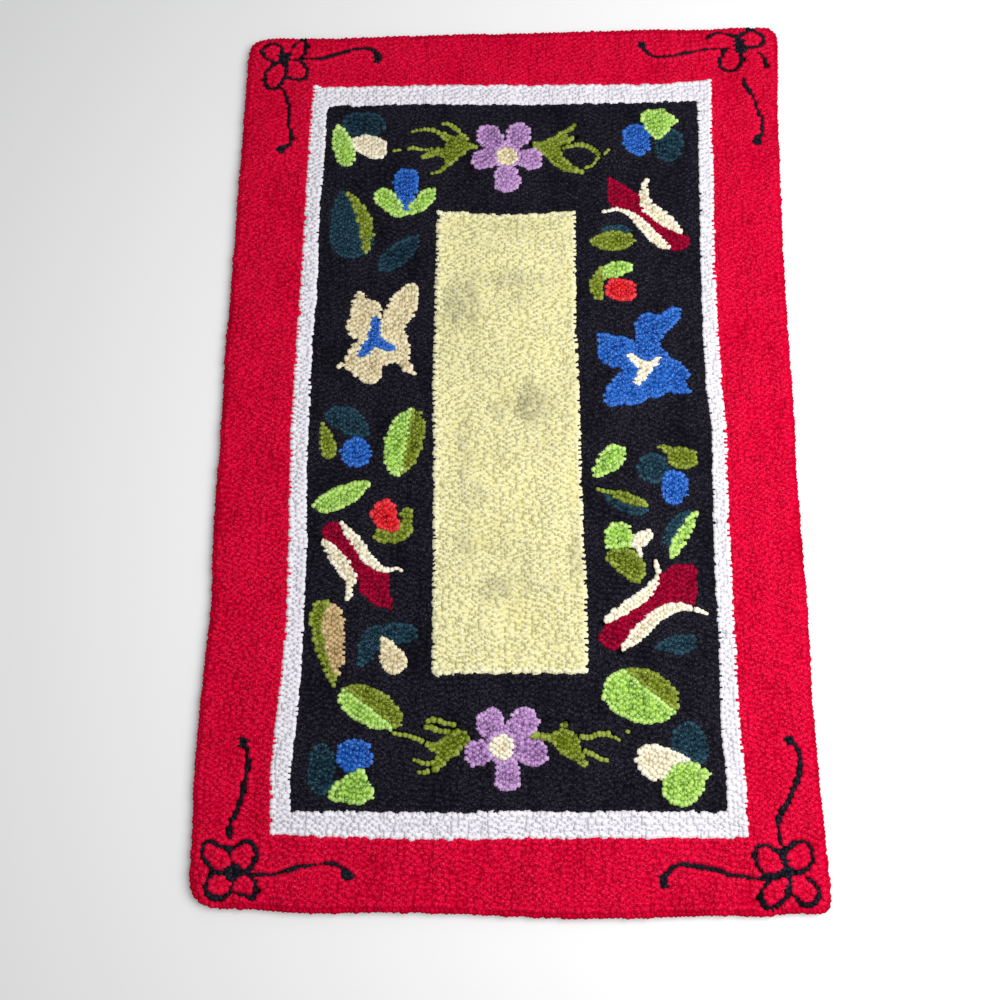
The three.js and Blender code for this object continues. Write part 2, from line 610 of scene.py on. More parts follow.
CORNER_FLOWERS = (
    CornerFlower(
        heart=(Oval((-258, 446), 15, 18, turn=10),),
        petals=(
            ((-261, 452, 5), (-262, 459, 5), (-268, 466, 4), (-277, 466, 5), (-284, 460, 5),
             (-283, 452, 5), (-277, 446, 4), (-268, 442, 5)),
            ((-252, 452, 4), (-247, 465, 3), (-240, 470, 3), (-234, 467, 5), (-233, 460, 5),
             (-236, 452, 4), (-241, 447, 4)),
            ((-268, 440, 5), (-275, 434, 5), (-280, 425, 5), (-279, 415, 6), (-272, 408, 5),
             (-264, 410, 5), (-259, 417, 5), (-256, 426, 5), (-255, 436, 5)),
            ((-247, 445, 5), (-240, 444, 6), (-234, 437, 5), (-230, 429, 5), (-233, 421, 6),
             (-241, 419, 5), (-250, 421, 4), (-255, 424, 4)),
        ),
        tendrils=(
            ((-236, 447, 3), (-228, 446, 4), (-217, 446, 5), (-205, 449, 5), (-190, 454, 5),
             (-178, 457, 5), (-165, 458, 5), (-156, 456, 6), (-151, 450, 7), (-150, 444, 8)),
            ((-258, 408, 4), (-255, 400, 4), (-251, 390, 5), (-249, 375, 4), (-248, 360, 4),
             (-245, 350, 5), (-245, 341, 5), (-249, 335, 6), (-256, 331, 9)),
        ),
    ),
    CornerFlower(
        heart=(Oval((263, 452), 15, 21, turn=15), Oval((260, 463), 7, 9)),
        petals=(
            ((256, 465, 5), (250, 467, 4), (242, 469, 4), (233, 468, 4), (227, 463, 5), (228, 458, 3)),
            ((264, 466, 6), (270, 470, 4), (278, 471, 4), (286, 467, 4), (290, 461, 5), (286, 453, 5),
             (278, 450, 4), (271, 450, 5)),
            ((246, 449, 5), (243, 441, 5), (239, 434, 4), (240, 426, 5), (246, 421, 4), (254, 421, 4),
             (260, 425, 5), (264, 432, 7), (264, 440, 6)),
            ((283, 443, 4), (287, 438, 4), (291, 432, 4), (290, 425, 7)),
        ),
        tendrils=(
            ((250, 449, 4), (235, 449, 3), (222, 448, 4), (212, 446, 3), (200, 444, 5), (190, 442, 4),
             (176, 440, 5), (165, 441, 4), (158, 446, 5), (154, 451, 6), (152, 456, 8)),
            ((265, 412, 2), (266, 403, 5), (270, 395, 6), (275, 385, 4), (278, 372, 4), (282, 361, 5),
             (282, 350, 5), (281, 340, 6), (277, 333, 9)),
        ),
    ),
    CornerFlower(
        heart=(Oval((-262, -438), 17, 17), Oval((-265, -417), 9, 8), Oval((-249, -438), 9, 8)),
        petals=(
            ((-267, -417, 6), (-276, -414, 5), (-286, -410, 5), (-292, -414, 5), (-293, -422, 5),
             (-288, -429, 5), (-281, -436, 5), (-277, -439, 4)),
            ((-263, -416, 5), (-258, -413, 5), (-251, -410, 5), (-245, -412, 5), (-240, -418, 6),
             (-240, -426, 7), (-244, -433, 6), (-249, -438, 6)),
            ((-265, -420, 4), (-264, -431, 3)),
            ((-268, -438, 5), (-277, -439, 5), (-284, -443, 5), (-287, -450, 5), (-284, -458, 6),
             (-276, -462, 7), (-267, -460, 5), (-262, -453, 4), (-261, -446, 4)),
            ((-259, -456, 3), (-249, -459, 4), (-241, -461, 6), (-238, -455, 6), (-240, -447, 5),
             (-245, -441, 5)),
        ),
        tendrils=(
            ((-266, -408, 3), (-268, -402, 6), (-266, -393, 6), (-260, -378, 6), (-256, -360, 7),
             (-254, -345, 6), (-253, -330, 5), (-256, -322, 7), (-259, -318, 10)),
            ((-243, -440, 5), (-228, -440, 4), (-219, -439, 3), (-212, -437, 5), (-200, -433, 5),
             (-188, -431, 4), (-178, -430, 3), (-167, -429, 5), (-160, -431, 4), (-155, -434, 5),
             (-151, -439, 9)),
        ),
    ),
    CornerFlower(
        heart=(Oval((266, -433), 15, 11), Oval((264, -420), 8, 18), Oval((267, -444), 8, 18)),
        petals=(
            ((261, -415, 6), (255, -412, 5), (248, -408, 4), (240, -409, 5), (236, -416, 5),
             (238, -425, 5), (243, -433, 4), (250, -435, 6), (258, -435, 5)),
            ((265, -413, 6), (271, -408, 6), (279, -404, 5), (287, -407, 5), (291, -414, 5),
             (289, -424, 5), (283, -430, 5), (275, -433, 6)),
            ((248, -440, 4), (243, -447, 4), (240, -454, 7), (243, -461, 7), (250, -464, 6),
             (257, -460, 5), (263, -455, 5), (267, -452, 6)),
            ((285, -437, 4), (291, -443, 5), (294, -450, 5), (291, -457, 6), (284, -461, 6),
             (277, -459, 5), (271, -453, 4)),
        ),
        tendrils=(
            ((263, -410, 4), (261, -403, 4), (261, -393, 4), (260, -386, 6), (265, -376, 7),
             (271, -366, 6), (277, -355, 6), (282, -342, 7), (284, -330, 6), (282, -320, 5),
             (278, -314, 5), (274, -311, 8)),
            ((257, -438, 4), (238, -438, 4), (222, -436, 4), (212, -435, 4), (202, -431, 5),
             (190, -429, 6), (178, -427, 6), (168, -426, 5), (160, -428, 5), (154, -433, 6),
             (151, -438, 8), (150, -443, 9)),
        ),
    ),
)

VIOLET_FLOWERS = (
    VioletFlower((-1, 318), (Petal(129, 47, 30), Petal(64, 44, 29), Petal(187, 39, 27),
                             Petal(351, 40, 28), Petal(270, 44, 31))),
    VioletFlower((-3, -320), (Petal(117, 39, 30), Petal(49, 46, 30), Petal(193, 38, 27),
                              Petal(351, 45, 28), Petal(281, 41, 29)), eye_yarn=Yarn.IVORY),
)

FAN_BUDS = (
    FanBud(
        fan=Patch(((111, 293), (144, 270), (151, 246), (136, 244), (111, 250))),
        neck=((138, 256, 20), (152, 241, 16), (165, 230, 14), (178, 220, 22), (184, 213, 26)),
        curls=(
            ((155, 288, 5), (152, 282, 8), (150, 274, 9), (150, 263, 14), (156, 251, 17), (167, 242, 18),
             (178, 233, 15), (187, 226, 9), (191, 223, 5)),
            ((104, 249, 5), (112, 250, 4), (120, 252, 5), (129, 249, 6), (138, 243, 9), (147, 233, 13),
             (156, 221, 14), (166, 211, 13), (174, 206, 8)),
        ),
    ),
    FanBud(
        fan=Patch(((-118, -149), (-115, -188), (-136, -182), (-150, -168), (-148, -142))),
        neck=((-140, -152, 24), (-152, -138, 18), (-162, -125, 14), (-171, -114, 18), (-179, -106, 22)),
        curls=(
            ((-171, -96, 5), (-165, -104, 8), (-158, -112, 12), (-150, -122, 13), (-142, -133, 13),
             (-133, -141, 11), (-125, -146, 8), (-118, -146, 5), (-112, -144, 4), (-106, -147, 4)),
            ((-190, -115, 6), (-181, -123, 13), (-172, -134, 18), (-164, -146, 17), (-158, -156, 13),
             (-160, -166, 9), (-160, -174, 8)),
        ),
    ),
    FanBud(
        fan=Patch(((168, -140), (189, -138), (194, -160), (189, -185), (150, -182), (149, -155))),
        neck=((155, -170, 24), (140, -184, 18), (126, -195, 16), (112, -207, 24), (106, -213, 27)),
        curls=(
            ((151, -135, 4), (152, -142, 6), (153, -150, 7), (150, -158, 9), (143, -167, 13),
             (133, -176, 15), (120, -184, 14), (108, -192, 12), (97, -199, 6)),
            ((202, -190, 3), (193, -187, 5), (183, -184, 8), (172, -183, 11), (160, -187, 14),
             (150, -193, 15), (140, -202, 16), (130, -212, 15), (120, -221, 11), (113, -228, 6)),
        ),
    ),
)

SPRAYS = [Stroke(stations) for stations in (
    # Far left
    ((-34, 330, 4), (-48, 332, 15), (-59, 328, 25), (-66, 320, 18)),
    ((-50, 340, 11), (-57, 351, 8), (-65, 358, 6), (-75, 360, 4)),
    ((-61, 337, 14), (-72, 345, 9), (-82, 351, 7), (-95, 353, 5), (-109, 350, 3)),
    ((-66, 325, 16), (-80, 324, 12), (-93, 319, 8)),
    ((-84, 328, 5), (-97, 328, 4), (-107, 331, 6), (-113, 328, 4)),
    ((-120, 328, 3), (-130, 327, 4)),
    ((-63, 317, 14), (-68, 308, 9), (-76, 301, 5), (-86, 298, 4)),
    # Far right
    ((26, 333, 6), (38, 329, 16), (48, 325, 23), (55, 313, 17), (65, 304, 14), (75, 300, 9), (84, 297, 6)),
    ((50, 334, 15), (60, 342, 11), (68, 349, 8), (76, 357, 5)),
    ((60, 335, 10), (70, 338, 9), (77, 341, 6)),
    ((56, 326, 6), (68, 329, 5), (80, 331, 7), (90, 328, 7), (100, 320, 7), (99, 312, 4),
     (93, 305, 4), (86, 302, 4)),
    ((107, 319, 4), (113, 325, 4)),
    # Near left
    ((-35, -313, 6), (-46, -312, 19), (-54, -320, 22), (-62, -327, 14)),
    ((-49, -299, 6), (-60, -297, 5), (-70, -294, 7), (-79, -296, 5)),
    ((-50, -306, 6), (-62, -305, 6), (-72, -302, 7), (-80, -301, 5)),
    ((-57, -320, 20), (-72, -320, 10), (-83, -314, 6), (-95, -310, 5), (-111, -307, 4)),
    ((-60, -328, 12), (-70, -335, 7), (-80, -335, 5), (-91, -332, 4)),
    ((-62, -334, 10), (-69, -341, 8), (-78, -344, 5), (-86, -344, 4)),
    # Near right
    ((28, -308, 9), (42, -310, 9), (52, -311, 15), (60, -315, 26), (68, -325, 17), (77, -336, 8)),
    ((57, -301, 10), (60, -295, 5)),
    ((68, -308, 6), (80, -310, 6), (90, -307, 6), (102, -306, 7)),
    ((102, -308, 4), (112, -313, 3)),
    ((72, -321, 6), (82, -325, 6), (92, -330, 5), (100, -332, 4)),
    ((117, -304, 4), (121, -305, 4)),
)]

NEAR_LEFT_LEAF = Leaf((-101, -299), (-164, -268), 38, (0.5, 0.4))
MIDDLE_LEFT_LEAF = Leaf((-116, -48), (-96, 25), 41, (0.5, 0.5), bow=2)
NEAR_RIGHT_LEAF = Leaf((169, -279), (96, -261), 54, (0.45, 0.45))

LEAVES_AND_BERRIES = [Motif(*row) for row in (
    # Far left
    (Yarn.TEAL, Oval((-163, 361), 50, 34, turn=-6, squareness=2.6)),
    (Yarn.IVORY, Leaf((-136, 327), (-178, 341), 29, (0.3, 0.6))),
    (Yarn.LIME, Leaf((-179, 308), (-193, 361), 24, (0.42, 0.6))),
    (Yarn.BLUE, Leaf((-113, 305), (-112, 247), 31, (0.42, 1.15))),
    (Yarn.LIME, Leaf((-145, 279), (-114, 245), 24, (0.33, 0.6))),
    (Yarn.LIME, Leaf((-80, 279), (-113, 247), 20, (0.4, 0.7), bow=1)),
    (Yarn.TEAL, Leaf((-165, 197), (-186, 283), 51, (0.45, 0.95))),
    (Yarn.OLIVE, Leaf((-155, 201), (-181, 281), 17, (0.5, 0.75), bow=-10)),
    (Yarn.TEAL, Leaf((-140, 183), (-96, 223), 28, (0.4, 0.5))),
    # Far right
    (Yarn.TEAL, Oval((178, 329), 35, 45, turn=-10)),
    (Yarn.BLUE, Oval((144, 336), 35, 42, turn=10)),
    (Yarn.LIME, Leaf((149, 365), (190, 357), 25, (0.4, 0.6))),
    (Yarn.LIME, Leaf((168, 374), (166, 336), 34, (0.45, 0.7))),
    (Yarn.TEAL, Oval((118, 226), 36, 17)),
    (Yarn.OLIVE, Leaf((138, 215), (87, 214), 25, (0.5, 0.7))),
    (Yarn.OLIVE, Stroke(((103, 180, 11), (97, 166, 16), (98, 152, 15)))),
    (Yarn.LIME, Stroke(((108, 177, 14), (117, 181, 21), (129, 183, 15)))),
    (Yarn.SCARLET, Oval((122.5, 157), 35, 28, turn=-10, squareness=2.4)),
    # Middle left
    (Yarn.TEAL, Leaf((-146, -4), (-192, 22), 31, (0.5, 0.5), bow=-4)),
    (Yarn.OLIVE, Leaf((-184, -29), (-196, 15), 19, (0.45, 1.0))),
    (Yarn.BLUE, Oval((-158, -22), 33, 35, turn=30, squareness=2.2)),
    (Yarn.LIME, MIDDLE_LEFT_LEAF),
    (Yarn.OLIVE, Half(MIDDLE_LEFT_LEAF, (-100, 24), (-110, -46))),
    (Yarn.LIME, Leaf((-200, -82), (-141, -53), 26, (0.5, 0.7), bow=-2)),
    (Yarn.OLIVE, Stroke(((-103, -87, 14), (-102, -98, 15), (-109, -109, 18), (-128, -110, 17)))),
    (Yarn.SCARLET, Oval((-126, -88), 29, 33)),
    (Yarn.SCARLET, Leaf((-130, -90), (-110, -105), 21, (0.5, 0.6))),
    # Middle right
    (Yarn.LIME, Leaf((120, -17), (89, -51), 26, (0.42, 0.8))),
    (Yarn.TEAL, Oval((151, -40), 34, 36)),
    (Yarn.OLIVE, Oval((182, -29.5), 31, 25, turn=-8, squareness=2.6)),
    (Yarn.OLIVE, Stroke(((173, -25, 11), (166, -20, 10), (159, -17, 8)))),
    (Yarn.BLUE, Oval((172.5, -60.5), 30, 39, turn=-4)),
    (Yarn.TEAL, Leaf((99, -66), (147, -86), 20, (0.7, 0.5), bow=-3)),
    (Yarn.OLIVE, Leaf((104, -64), (148, -81), 13, (0.5, 0.6))),
    (Yarn.OLIVE, Stroke(((93, -61, 4), (101, -64, 5), (110, -66, 6)))),
    (Yarn.TEAL, Leaf((161, -122), (188, -82), 17, (0.5, 0.6), bow=2)),
    (Yarn.LIME, Leaf((165, -135), (194, -84), 14, (0.4, 0.5))),
    (Yarn.IVORY, Leaf((127, -121), (148, -107), 16, (0.3, 0.3))),
    (Yarn.IVORY, Stroke(((133, -119, 7), (135, -126, 6), (136, -132, 5)))),
    (Yarn.LIME, Oval((114, -113), 31, 35, turn=-15)),
    (Yarn.OLIVE, Leaf((137, -156), (102, -128), 29, (0.42, 0.5), bow=-5)),
    # Near left
    (Yarn.OLIVE, Leaf((-170, -265), (-188, -176), 31, (0.85, 0.42))),
    (Yarn.TAN, Leaf((-168, -253), (-176, -180), 24, (0.65, 0.4))),
    (Yarn.TEAL, Leaf((-127, -201), (-147, -244), 24, (0.45, 0.6))),
    (Yarn.TEAL, Leaf((-126, -209), (-87, -211), 25, (0.45, 0.5))),
    (Yarn.CREAM, Leaf((-106, -249), (-128, -208), 26, (0.42, 1.1))),
    (Yarn.LIME, NEAR_LEFT_LEAF),
    (Yarn.OLIVE, Half(NEAR_LEFT_LEAF, (-158, -266), (-107, -304))),
    (Yarn.TEAL, Oval((-180, -342), 32, 52)),
    (Yarn.BLUE, Oval((-148, -329), 36, 33, turn=8, squareness=2.8)),
    (Yarn.LIME, Leaf((-128, -362), (-174, -366), 27, (0.42, 0.55), bow=-3)),
    (Yarn.LIME, Leaf((-149, -375), (-142, -341), 33, (0.4, 0.7))),
    # Near right
    (Yarn.TEAL, Leaf((191, -218), (145, -223), 23, (0.42, 0.8))),
    (Yarn.LIME, NEAR_RIGHT_LEAF),
    (Yarn.OLIVE, Half(NEAR_RIGHT_LEAF, (114, -242), (165, -284))),
    (Yarn.TEAL, Oval((179, -317), 37, 48, turn=8)),
    (Yarn.IVORY, Leaf((127, -328), (184, -334), 35, (0.4, 0.8), bow=-4)),
    (Yarn.LIME, Leaf((157, -370), (187, -335), 39, (0.45, 0.5))),
    (Yarn.LIME, Leaf((172, -351), (199, -341), 19, (0.5, 0.8))),
)]

LILIES = (
    Lily(
        Yarn.CREAM,
        petals=(
            Oval((-134, 98), 56, 50),
            Leaf((-152, 100), (-160, 160), 28, (0.5, 0.65)),
            Oval((-148, 135), 27, 29),
            Oval((-161, 119), 25, 32),
            Leaf((-130, 104), (-101, 167), 33, (0.5, 0.5)),
            Leaf((-122, 114), (-101, 66), 30, (0.4, 0.9), bow=-5),
            Stroke(((-111, 70, 7), (-104, 67, 6), (-97, 64, 4))),
            Patch(((-178, 74), (-166, 100), (-134, 96), (-133, 60), (-140, 52), (-151, 52))),
            Stroke(((-171, 76, 7), (-177, 75, 6), (-182, 72, 5))),
        ),
        throat_yarn=Yarn.BLUE,
        throat=(
            ((-143, 125, 9), (-142, 115, 14), (-142, 104, 15)),
            ((-143, 103, 15), (-149, 95, 14), (-155, 87, 11)),
            ((-142, 102, 15), (-132, 96, 13), (-123, 93, 9)),
        ),
    ),
    Lily(
        Yarn.BLUE,
        petals=(
            Oval((146, 72), 54, 54),
            Oval((117, 87), 45, 38),
            Leaf((120, 91), (94, 108), 19, (0.5, 0.7)),
            Leaf((150, 80), (151, 131), 32, (0.6, 0.42)),
            Leaf((152, 103), (185, 136), 21, (0.5, 0.42)),
            Leaf((148, 74), (196, 58), 30, (0.55, 0.9)),
            Leaf((156, 60), (193, 40), 26, (0.5, 0.8), bow=3),
            Leaf((146, 72), (104, 28), 30, (0.6, 0.55)),
            Oval((132, 41), 38, 30),
            Oval((158, 47), 26, 26),
        ),
        throat_yarn=Yarn.IVORY,
        throat=(
            ((131, 82, 9), (138, 76, 11), (145, 70, 12)),
            ((159, 78, 8), (153, 73, 11), (146, 68, 12)),
            ((147, 68, 13), (142, 60, 13), (138, 54, 10)),
        ),
    ),
)


class Drawing:
    """What was drawn on the cloth before it was hooked.

    A loop bulges past its place, and the low black ones least. So a shape is hooked a little smaller
    than it is to look, and a black line a little wider.
    """

    BULGE = 1.0
    BLACK_BULGE = -0.5

    def __init__(self) -> None:
        """Lists every motif in the order in which one lies over another."""
        self.motifs = self.parts_of(CORNER_FLOWERS)
        self.motifs += [Motif(Yarn.WHITE, WHITE_BAND), Motif(Yarn.BLACK, BLACK_FIELD)]
        self.motifs += [Motif(Yarn.BUTTER, CENTRE_PANEL)]
        self.motifs += [Motif(Yarn.OLIVE, stroke) for stroke in SPRAYS]
        self.motifs += self.parts_of((*VIOLET_FLOWERS, *FAN_BUDS))
        self.motifs += [*LEAVES_AND_BERRIES, *self.parts_of(LILIES)]
        self.areas = [Motif(m.yarn, replace(m.shape, thick_only=True)) if isinstance(m.shape, Stroke) else m
                      for m in self.motifs]

    @staticmethod
    def parts_of(plants: Sequence[CornerFlower | VioletFlower | FanBud | Lily]) -> list[Motif]:
        """All the motifs of several plants."""
        return [motif for plant in plants for motif in plant.motifs()]

    def yarns_at(self, x: Array, y: Array, lines: bool = True) -> Array:
        """Says which yarn each place is hooked with.

        Args:
            x: places across the rug.
            y: places along the rug.
            lines: whether the thin lines are drawn too.

        Returns:
            The yarn's number in YARNS for each place. The ground is red.
        """
        found = np.full(x.shape, YARNS.index(Yarn.RED))
        for motif in self.motifs if lines else self.areas:
            x0, x1, y0, y1 = motif.shape.reach()
            close = np.flatnonzero((x > x0) & (x < x1) & (y > y0) & (y < y1))
            spare = self.BLACK_BULGE if motif.yarn is Yarn.BLACK else self.BULGE
            covered = close[motif.shape.covers(x[close], y[close], spare)]
            found[covered] = YARNS.index(motif.yarn)
        return found

    def on_line(self, x: Array, y: Array) -> Array:
        """Says which places are hooked as part of a thin line."""
        return self.yarns_at(x, y) != self.yarns_at(x, y, lines=False)


# ---- The edge of the rug ----


class Outline:
    """The edge of the rug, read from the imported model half-way up its side, in millimetres.

    The corners are rounded within CORNER_ZONE of the rug's ends. Points within LEVEL_SHARE of the
    thickness from half-way up are on the edge.
    """

    CORNER_ZONE = 35.0
    LEVEL_SHARE = 0.15

    def __init__(self, node: Object) -> None:
        """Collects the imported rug's outermost points.

        Args:
            node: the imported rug.
        """
        low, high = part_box(node.name)
        points = np.array([v.co for v in node.data.vertices], float) / MM
        middle = (low.z + high.z) / 2 / MM
        thick = (high.z - low.z) / MM
        level = np.abs(points[:, 2] - middle) < thick * self.LEVEL_SHARE
        ring = np.unique(np.round(points[level, :2], 2), axis=0)
        self.ring = ring[np.argsort(np.arctan2(ring[:, 1] / high.y, ring[:, 0] / high.x))]
        self.half = np.array([high.x, high.y]) / MM

    def side_at(self, sign: int, y: Array) -> Array:
        """Where one long edge lies, as if it ran straight on through the corners.

        Args:
            sign: -1 for the left edge, 1 for the right one.
            y: places along the rug.

        Returns:
            The edge's x at each place.
        """
        straight = np.abs(self.ring[:, 1]) < self.half[1] - self.CORNER_ZONE
        edge = self.ring[straight & (self.ring[:, 0] * sign > 0)]
        edge = edge[np.argsort(edge[:, 1])]
        return np.interp(y, edge[:, 1], edge[:, 0])

    def inside(self, x: Array, y: Array, by: float = 0.0) -> Array:
        """Says which places lie inside the edge.

        Args:
            x: places across the rug.
            y: places along the rug.
            by: how far inside the edge they have to lie.

        Returns:
            True for each place inside.
        """
        found = np.zeros(x.shape, bool)
        ring = self.inset(by)
        for start, end in zip(ring, np.roll(ring, -1, axis=0)):
            run_x, run_y = end - start
            if run_y != 0:
                crossed = (y > start[1]) != (y > end[1])
                found ^= crossed & (x < run_x * (y - start[1]) / run_y + start[0])
        return found

    def rim(self, x: Array, y: Array) -> tuple[Array, Array]:
        """Finds the nearest point of the edge.

        Args:
            x: places across the rug.
            y: places along the rug.

        Returns:
            How far each place is from the edge, and the direction to it.
        """
        tiny = 1e-6
        here = np.stack([x, y], axis=1)
        best = np.full(len(x), np.inf)
        towards = np.zeros((len(x), 2))
        for a, b in zip(self.ring, np.roll(self.ring, -1, axis=0)):
            run = b - a
            share = np.clip(((here - a) @ run) / max(run @ run, tiny), 0, 1)
            offset = a + share[:, None] * run - here
            distance = np.hypot(offset[:, 0], offset[:, 1])
            nearer = distance < best
            best[nearer] = distance[nearer]
            towards[nearer] = offset[nearer] / np.maximum(distance[nearer, None], tiny)
        return best, towards

    def inset(self, by: float) -> Array:
        """The edge drawn in towards the middle.

        Args:
            by: how far, in millimetres.

        Returns:
            Rows of x and y.
        """
        run = np.roll(self.ring, -1, axis=0) - np.roll(self.ring, 1, axis=0)
        outward = np.stack([run[:, 1], -run[:, 0]], axis=1)
        outward /= np.linalg.norm(outward, axis=1, keepdims=True)
        return self.ring - outward * by


# ---- The pile ----


@dataclass
class Loops:
    """Where the loops of yarn are, one entry of each array for each loop, in millimetres.

    Attributes:
        x: place across the rug.
        y: place along the rug.
        yarn: number of the yarn in YARNS.
        length: room that the loop has along its row.
        row: number of its row.
        heading: direction of its row, in radians anticlockwise from +Y.
        width: how wide it is, as a share of the usual.
        rimmed: how much of it borders on other yarns, from 0 to 1.
    """

    x: Array
    y: Array
    yarn: Array
    length: Array
    row: Array
    heading: Array
    width: Array
    rimmed: Array

    def pick(self, chosen: Array) -> "Loops":
        """The chosen loops only."""
        return Loops(**{name: values[chosen] for name, values in vars(self).items()})

    @staticmethod
    def together(parts: Sequence["Loops"]) -> "Loops":
        """All the loops of several sets."""
        names = vars(parts[0])
        return Loops(**{name: np.concatenate([vars(part)[name] for part in parts]) for name in names})


@dataclass
class Hooking:
    """How the rug is hooked: one row round its edge, thin lines along themselves, and the rest in long rows.

    Attributes:
        outline: the rug's edge.
        drawing: what is drawn on the cloth.
        row_step: distance between two rows.
        loop_step: usual distance between two loops of a row.
        line_step: usual distance between two loops of a thin line.
        line_width: width of a line whose loops are as wide as the usual ones.
        unevenness: how much the loops of a row differ in length, as a share.
        shortest: the shortest stretch of one yarn that is hooked.
        sample: how finely the drawing is read along a row.
        edging: how far inside the edge the row round it lies.
        edge_room: how far inside the edge the long rows end.
        line_edge_room: how far inside the edge the thin lines end.
        line_room: how near a thin line the rows beside it come.
        stray: how far a change of yarn usually strays from the drawn line.
        most_stray: how far it strays at most.
        waver: how far the rows wander sideways.
        next_loop: how far along a row another yarn still borders on a loop.
        counted: how far from the rug's middle the rows are counted.
    """

    outline: Outline
    drawing: Drawing
    row_step: float = 3.3
    loop_step: float = 5.3
    line_step: float = 4.4
    line_width: float = 4.8
    unevenness: float = 0.3
    shortest: float = 2.0
    sample: float = 0.5
    edging: float = 2.9
    edge_room: float = 4.3
    line_edge_room: float = 3.8
    line_room: float = 1.2
    stray: float = 0.6
    most_stray: float = 1.2
    waver: float = 0.7
    next_loop: float = 4.5
    counted: float = 300.0

    def guides(self, y: Array) -> Array:
        """The lines that the long rows run beside: the rug's long edges and the sides of the fields.

        Args:
            y: places along the rug.

        Returns:
            For each line, its x at each place, from left to right.
        """
        fields = (WHITE_BAND, BLACK_FIELD, CENTRE_PANEL)
        lefts = [Field.side(drawn.left, y) for drawn in fields]
        rights = [Field.side(drawn.right, y) for drawn in reversed(fields)]
        return np.stack([self.outline.side_at(-1, y) + self.edge_room, *lefts, *rights,
                         self.outline.side_at(1, y) - self.edge_room])

    def lanes(self) -> Array:
        """How many rows lie left of each guide line; the last entry is how many there are in all."""
        lines = self.guides(np.linspace(-self.counted, self.counted, 61))
        widths = np.diff(lines, axis=0).mean(axis=1)
        return np.append(0, np.cumsum(np.maximum(1, np.round(widths / self.row_step)))).astype(int)

    def row_x(self, place: Array, y: Array) -> Array:
        """Where a row lies.

        Args:
            place: place across the rug, counted in rows from the left.
            y: places along the row.

        Returns:
            The row's x at each place.
        """
        ends = self.lanes()
        lane = np.clip(np.searchsorted(ends, place, side="right") - 1, 0, len(ends) - 2)
        share = (place - ends[lane]) / (ends[lane + 1] - ends[lane])
        lines = self.guides(y)
        left, right = (np.take_along_axis(lines, (lane + step)[None], axis=0)[0] for step in (0, 1))
        calm = 4 * share * (1 - share)  # 0 beside a guide line and 1 half-way between two
        return left + share * (right - left) + self.waver * calm * Ripple.ROWS.at(place * self.row_step, y)

    def hook(self) -> Loops:
        """Works the whole rug.

        Returns:
            All the loops of the rug.
        """
        parts = self.long_rows()
        parts.append(self.edge_row(len(parts)))
        parts += self.thin_lines(len(parts))
        loops = Loops.together(parts)
        steps = [(self.row_step * way, 0) for way in (1, -1)] + [(0, self.next_loop * way) for way in (1, -1)]
        around = [self.drawing.yarns_at(loops.x + dx, loops.y + dy) != loops.yarn for dx, dy in steps]
        loops.rimmed = np.clip(np.sum(around, axis=0) / 2, 0, 1)
        return loops

    def long_rows(self) -> list[Loops]:
        """Works every long row from the near end to the far end, changing yarn where the drawing does.

        Returns:
            The loops of each row.
        """
        drawing = self.drawing
        near = -self.outline.half[1]
        rows = self.lanes()[-1]
        rng = Seed.LONG_ROWS.draws()
        y = np.arange(near, -near, self.sample)
        place = np.repeat(np.arange(rows) + 0.5, len(y))
        along = np.tile(y, rows)
        across = self.row_x(place, along)
        free = self.outline.inside(across, along, self.edge_room)
        for beside in (-self.line_room, 0, self.line_room):
            free &= ~drawing.on_line(across + beside, along)
        yarns = np.where(free, drawing.yarns_at(across, along, lines=False), -1).reshape(rows, -1)
        worked = []
        for row, (x, yarn) in enumerate(zip(across.reshape(rows, -1), yarns)):
            starts = np.append(np.flatnonzero(np.diff(yarn, prepend=-1)), len(y))
            cuts = near + starts * self.sample
            strays = rng.normal(0, self.stray, len(cuts)).clip(-self.most_stray, self.most_stray)
            for index in range(1, len(cuts) - 1):
                both_worked = yarn[starts[index]] >= 0 and yarn[starts[index] - 1] >= 0
                cuts[index] += both_worked * strays[index]
            for start, low, high in zip(starts, cuts, cuts[1:]):
                if yarn[start] < 0 or high - low < self.shortest:
                    continue
                lengths = self.share_out(high - low, self.loop_step, rng)
                centres = low + np.cumsum(lengths) - lengths / 2
                worked.append(self.loops_at(np.interp(centres, y, x), centres, yarn[start], lengths, row))
        return worked

    def share_out(self, total: float, step: float, rng: np.random.Generator) -> Array:
        """Shares out a stretch among its loops, a little unevenly.

        Args:
            total: length of the stretch.
            step: usual room for one loop.
            rng: where the unevenness comes from.

        Returns:
            The room of each loop.
        """
        count = max(1, round(total / step))
        lengths = rng.uniform(1 - self.unevenness, 1 + self.unevenness, count)
        return lengths * total / lengths.sum()

    @staticmethod
    def loops_at(x: Array, y: Array, yarn: int, length: Array, row: int,
                 heading: float | Array = 0.0, width: float | Array = 1.0) -> Loops:
        """Puts the loops of one row together. A value given once holds for all of them.

        Args:
            x: their places across the rug.
            y: their places along the rug.
            yarn: number of their yarn.
            length: room of each along the row.
            row: number of their row.
            heading: direction of the row.
            width: how wide they are, as a share of the usual.

        Returns:
            The loops, with no other yarn beside them as yet.
        """
        full = np.ones(len(x))
        return Loops(x, y, (full * yarn).astype(int), length, (full * row).astype(int), full * heading,
                     full * width, full * 0)

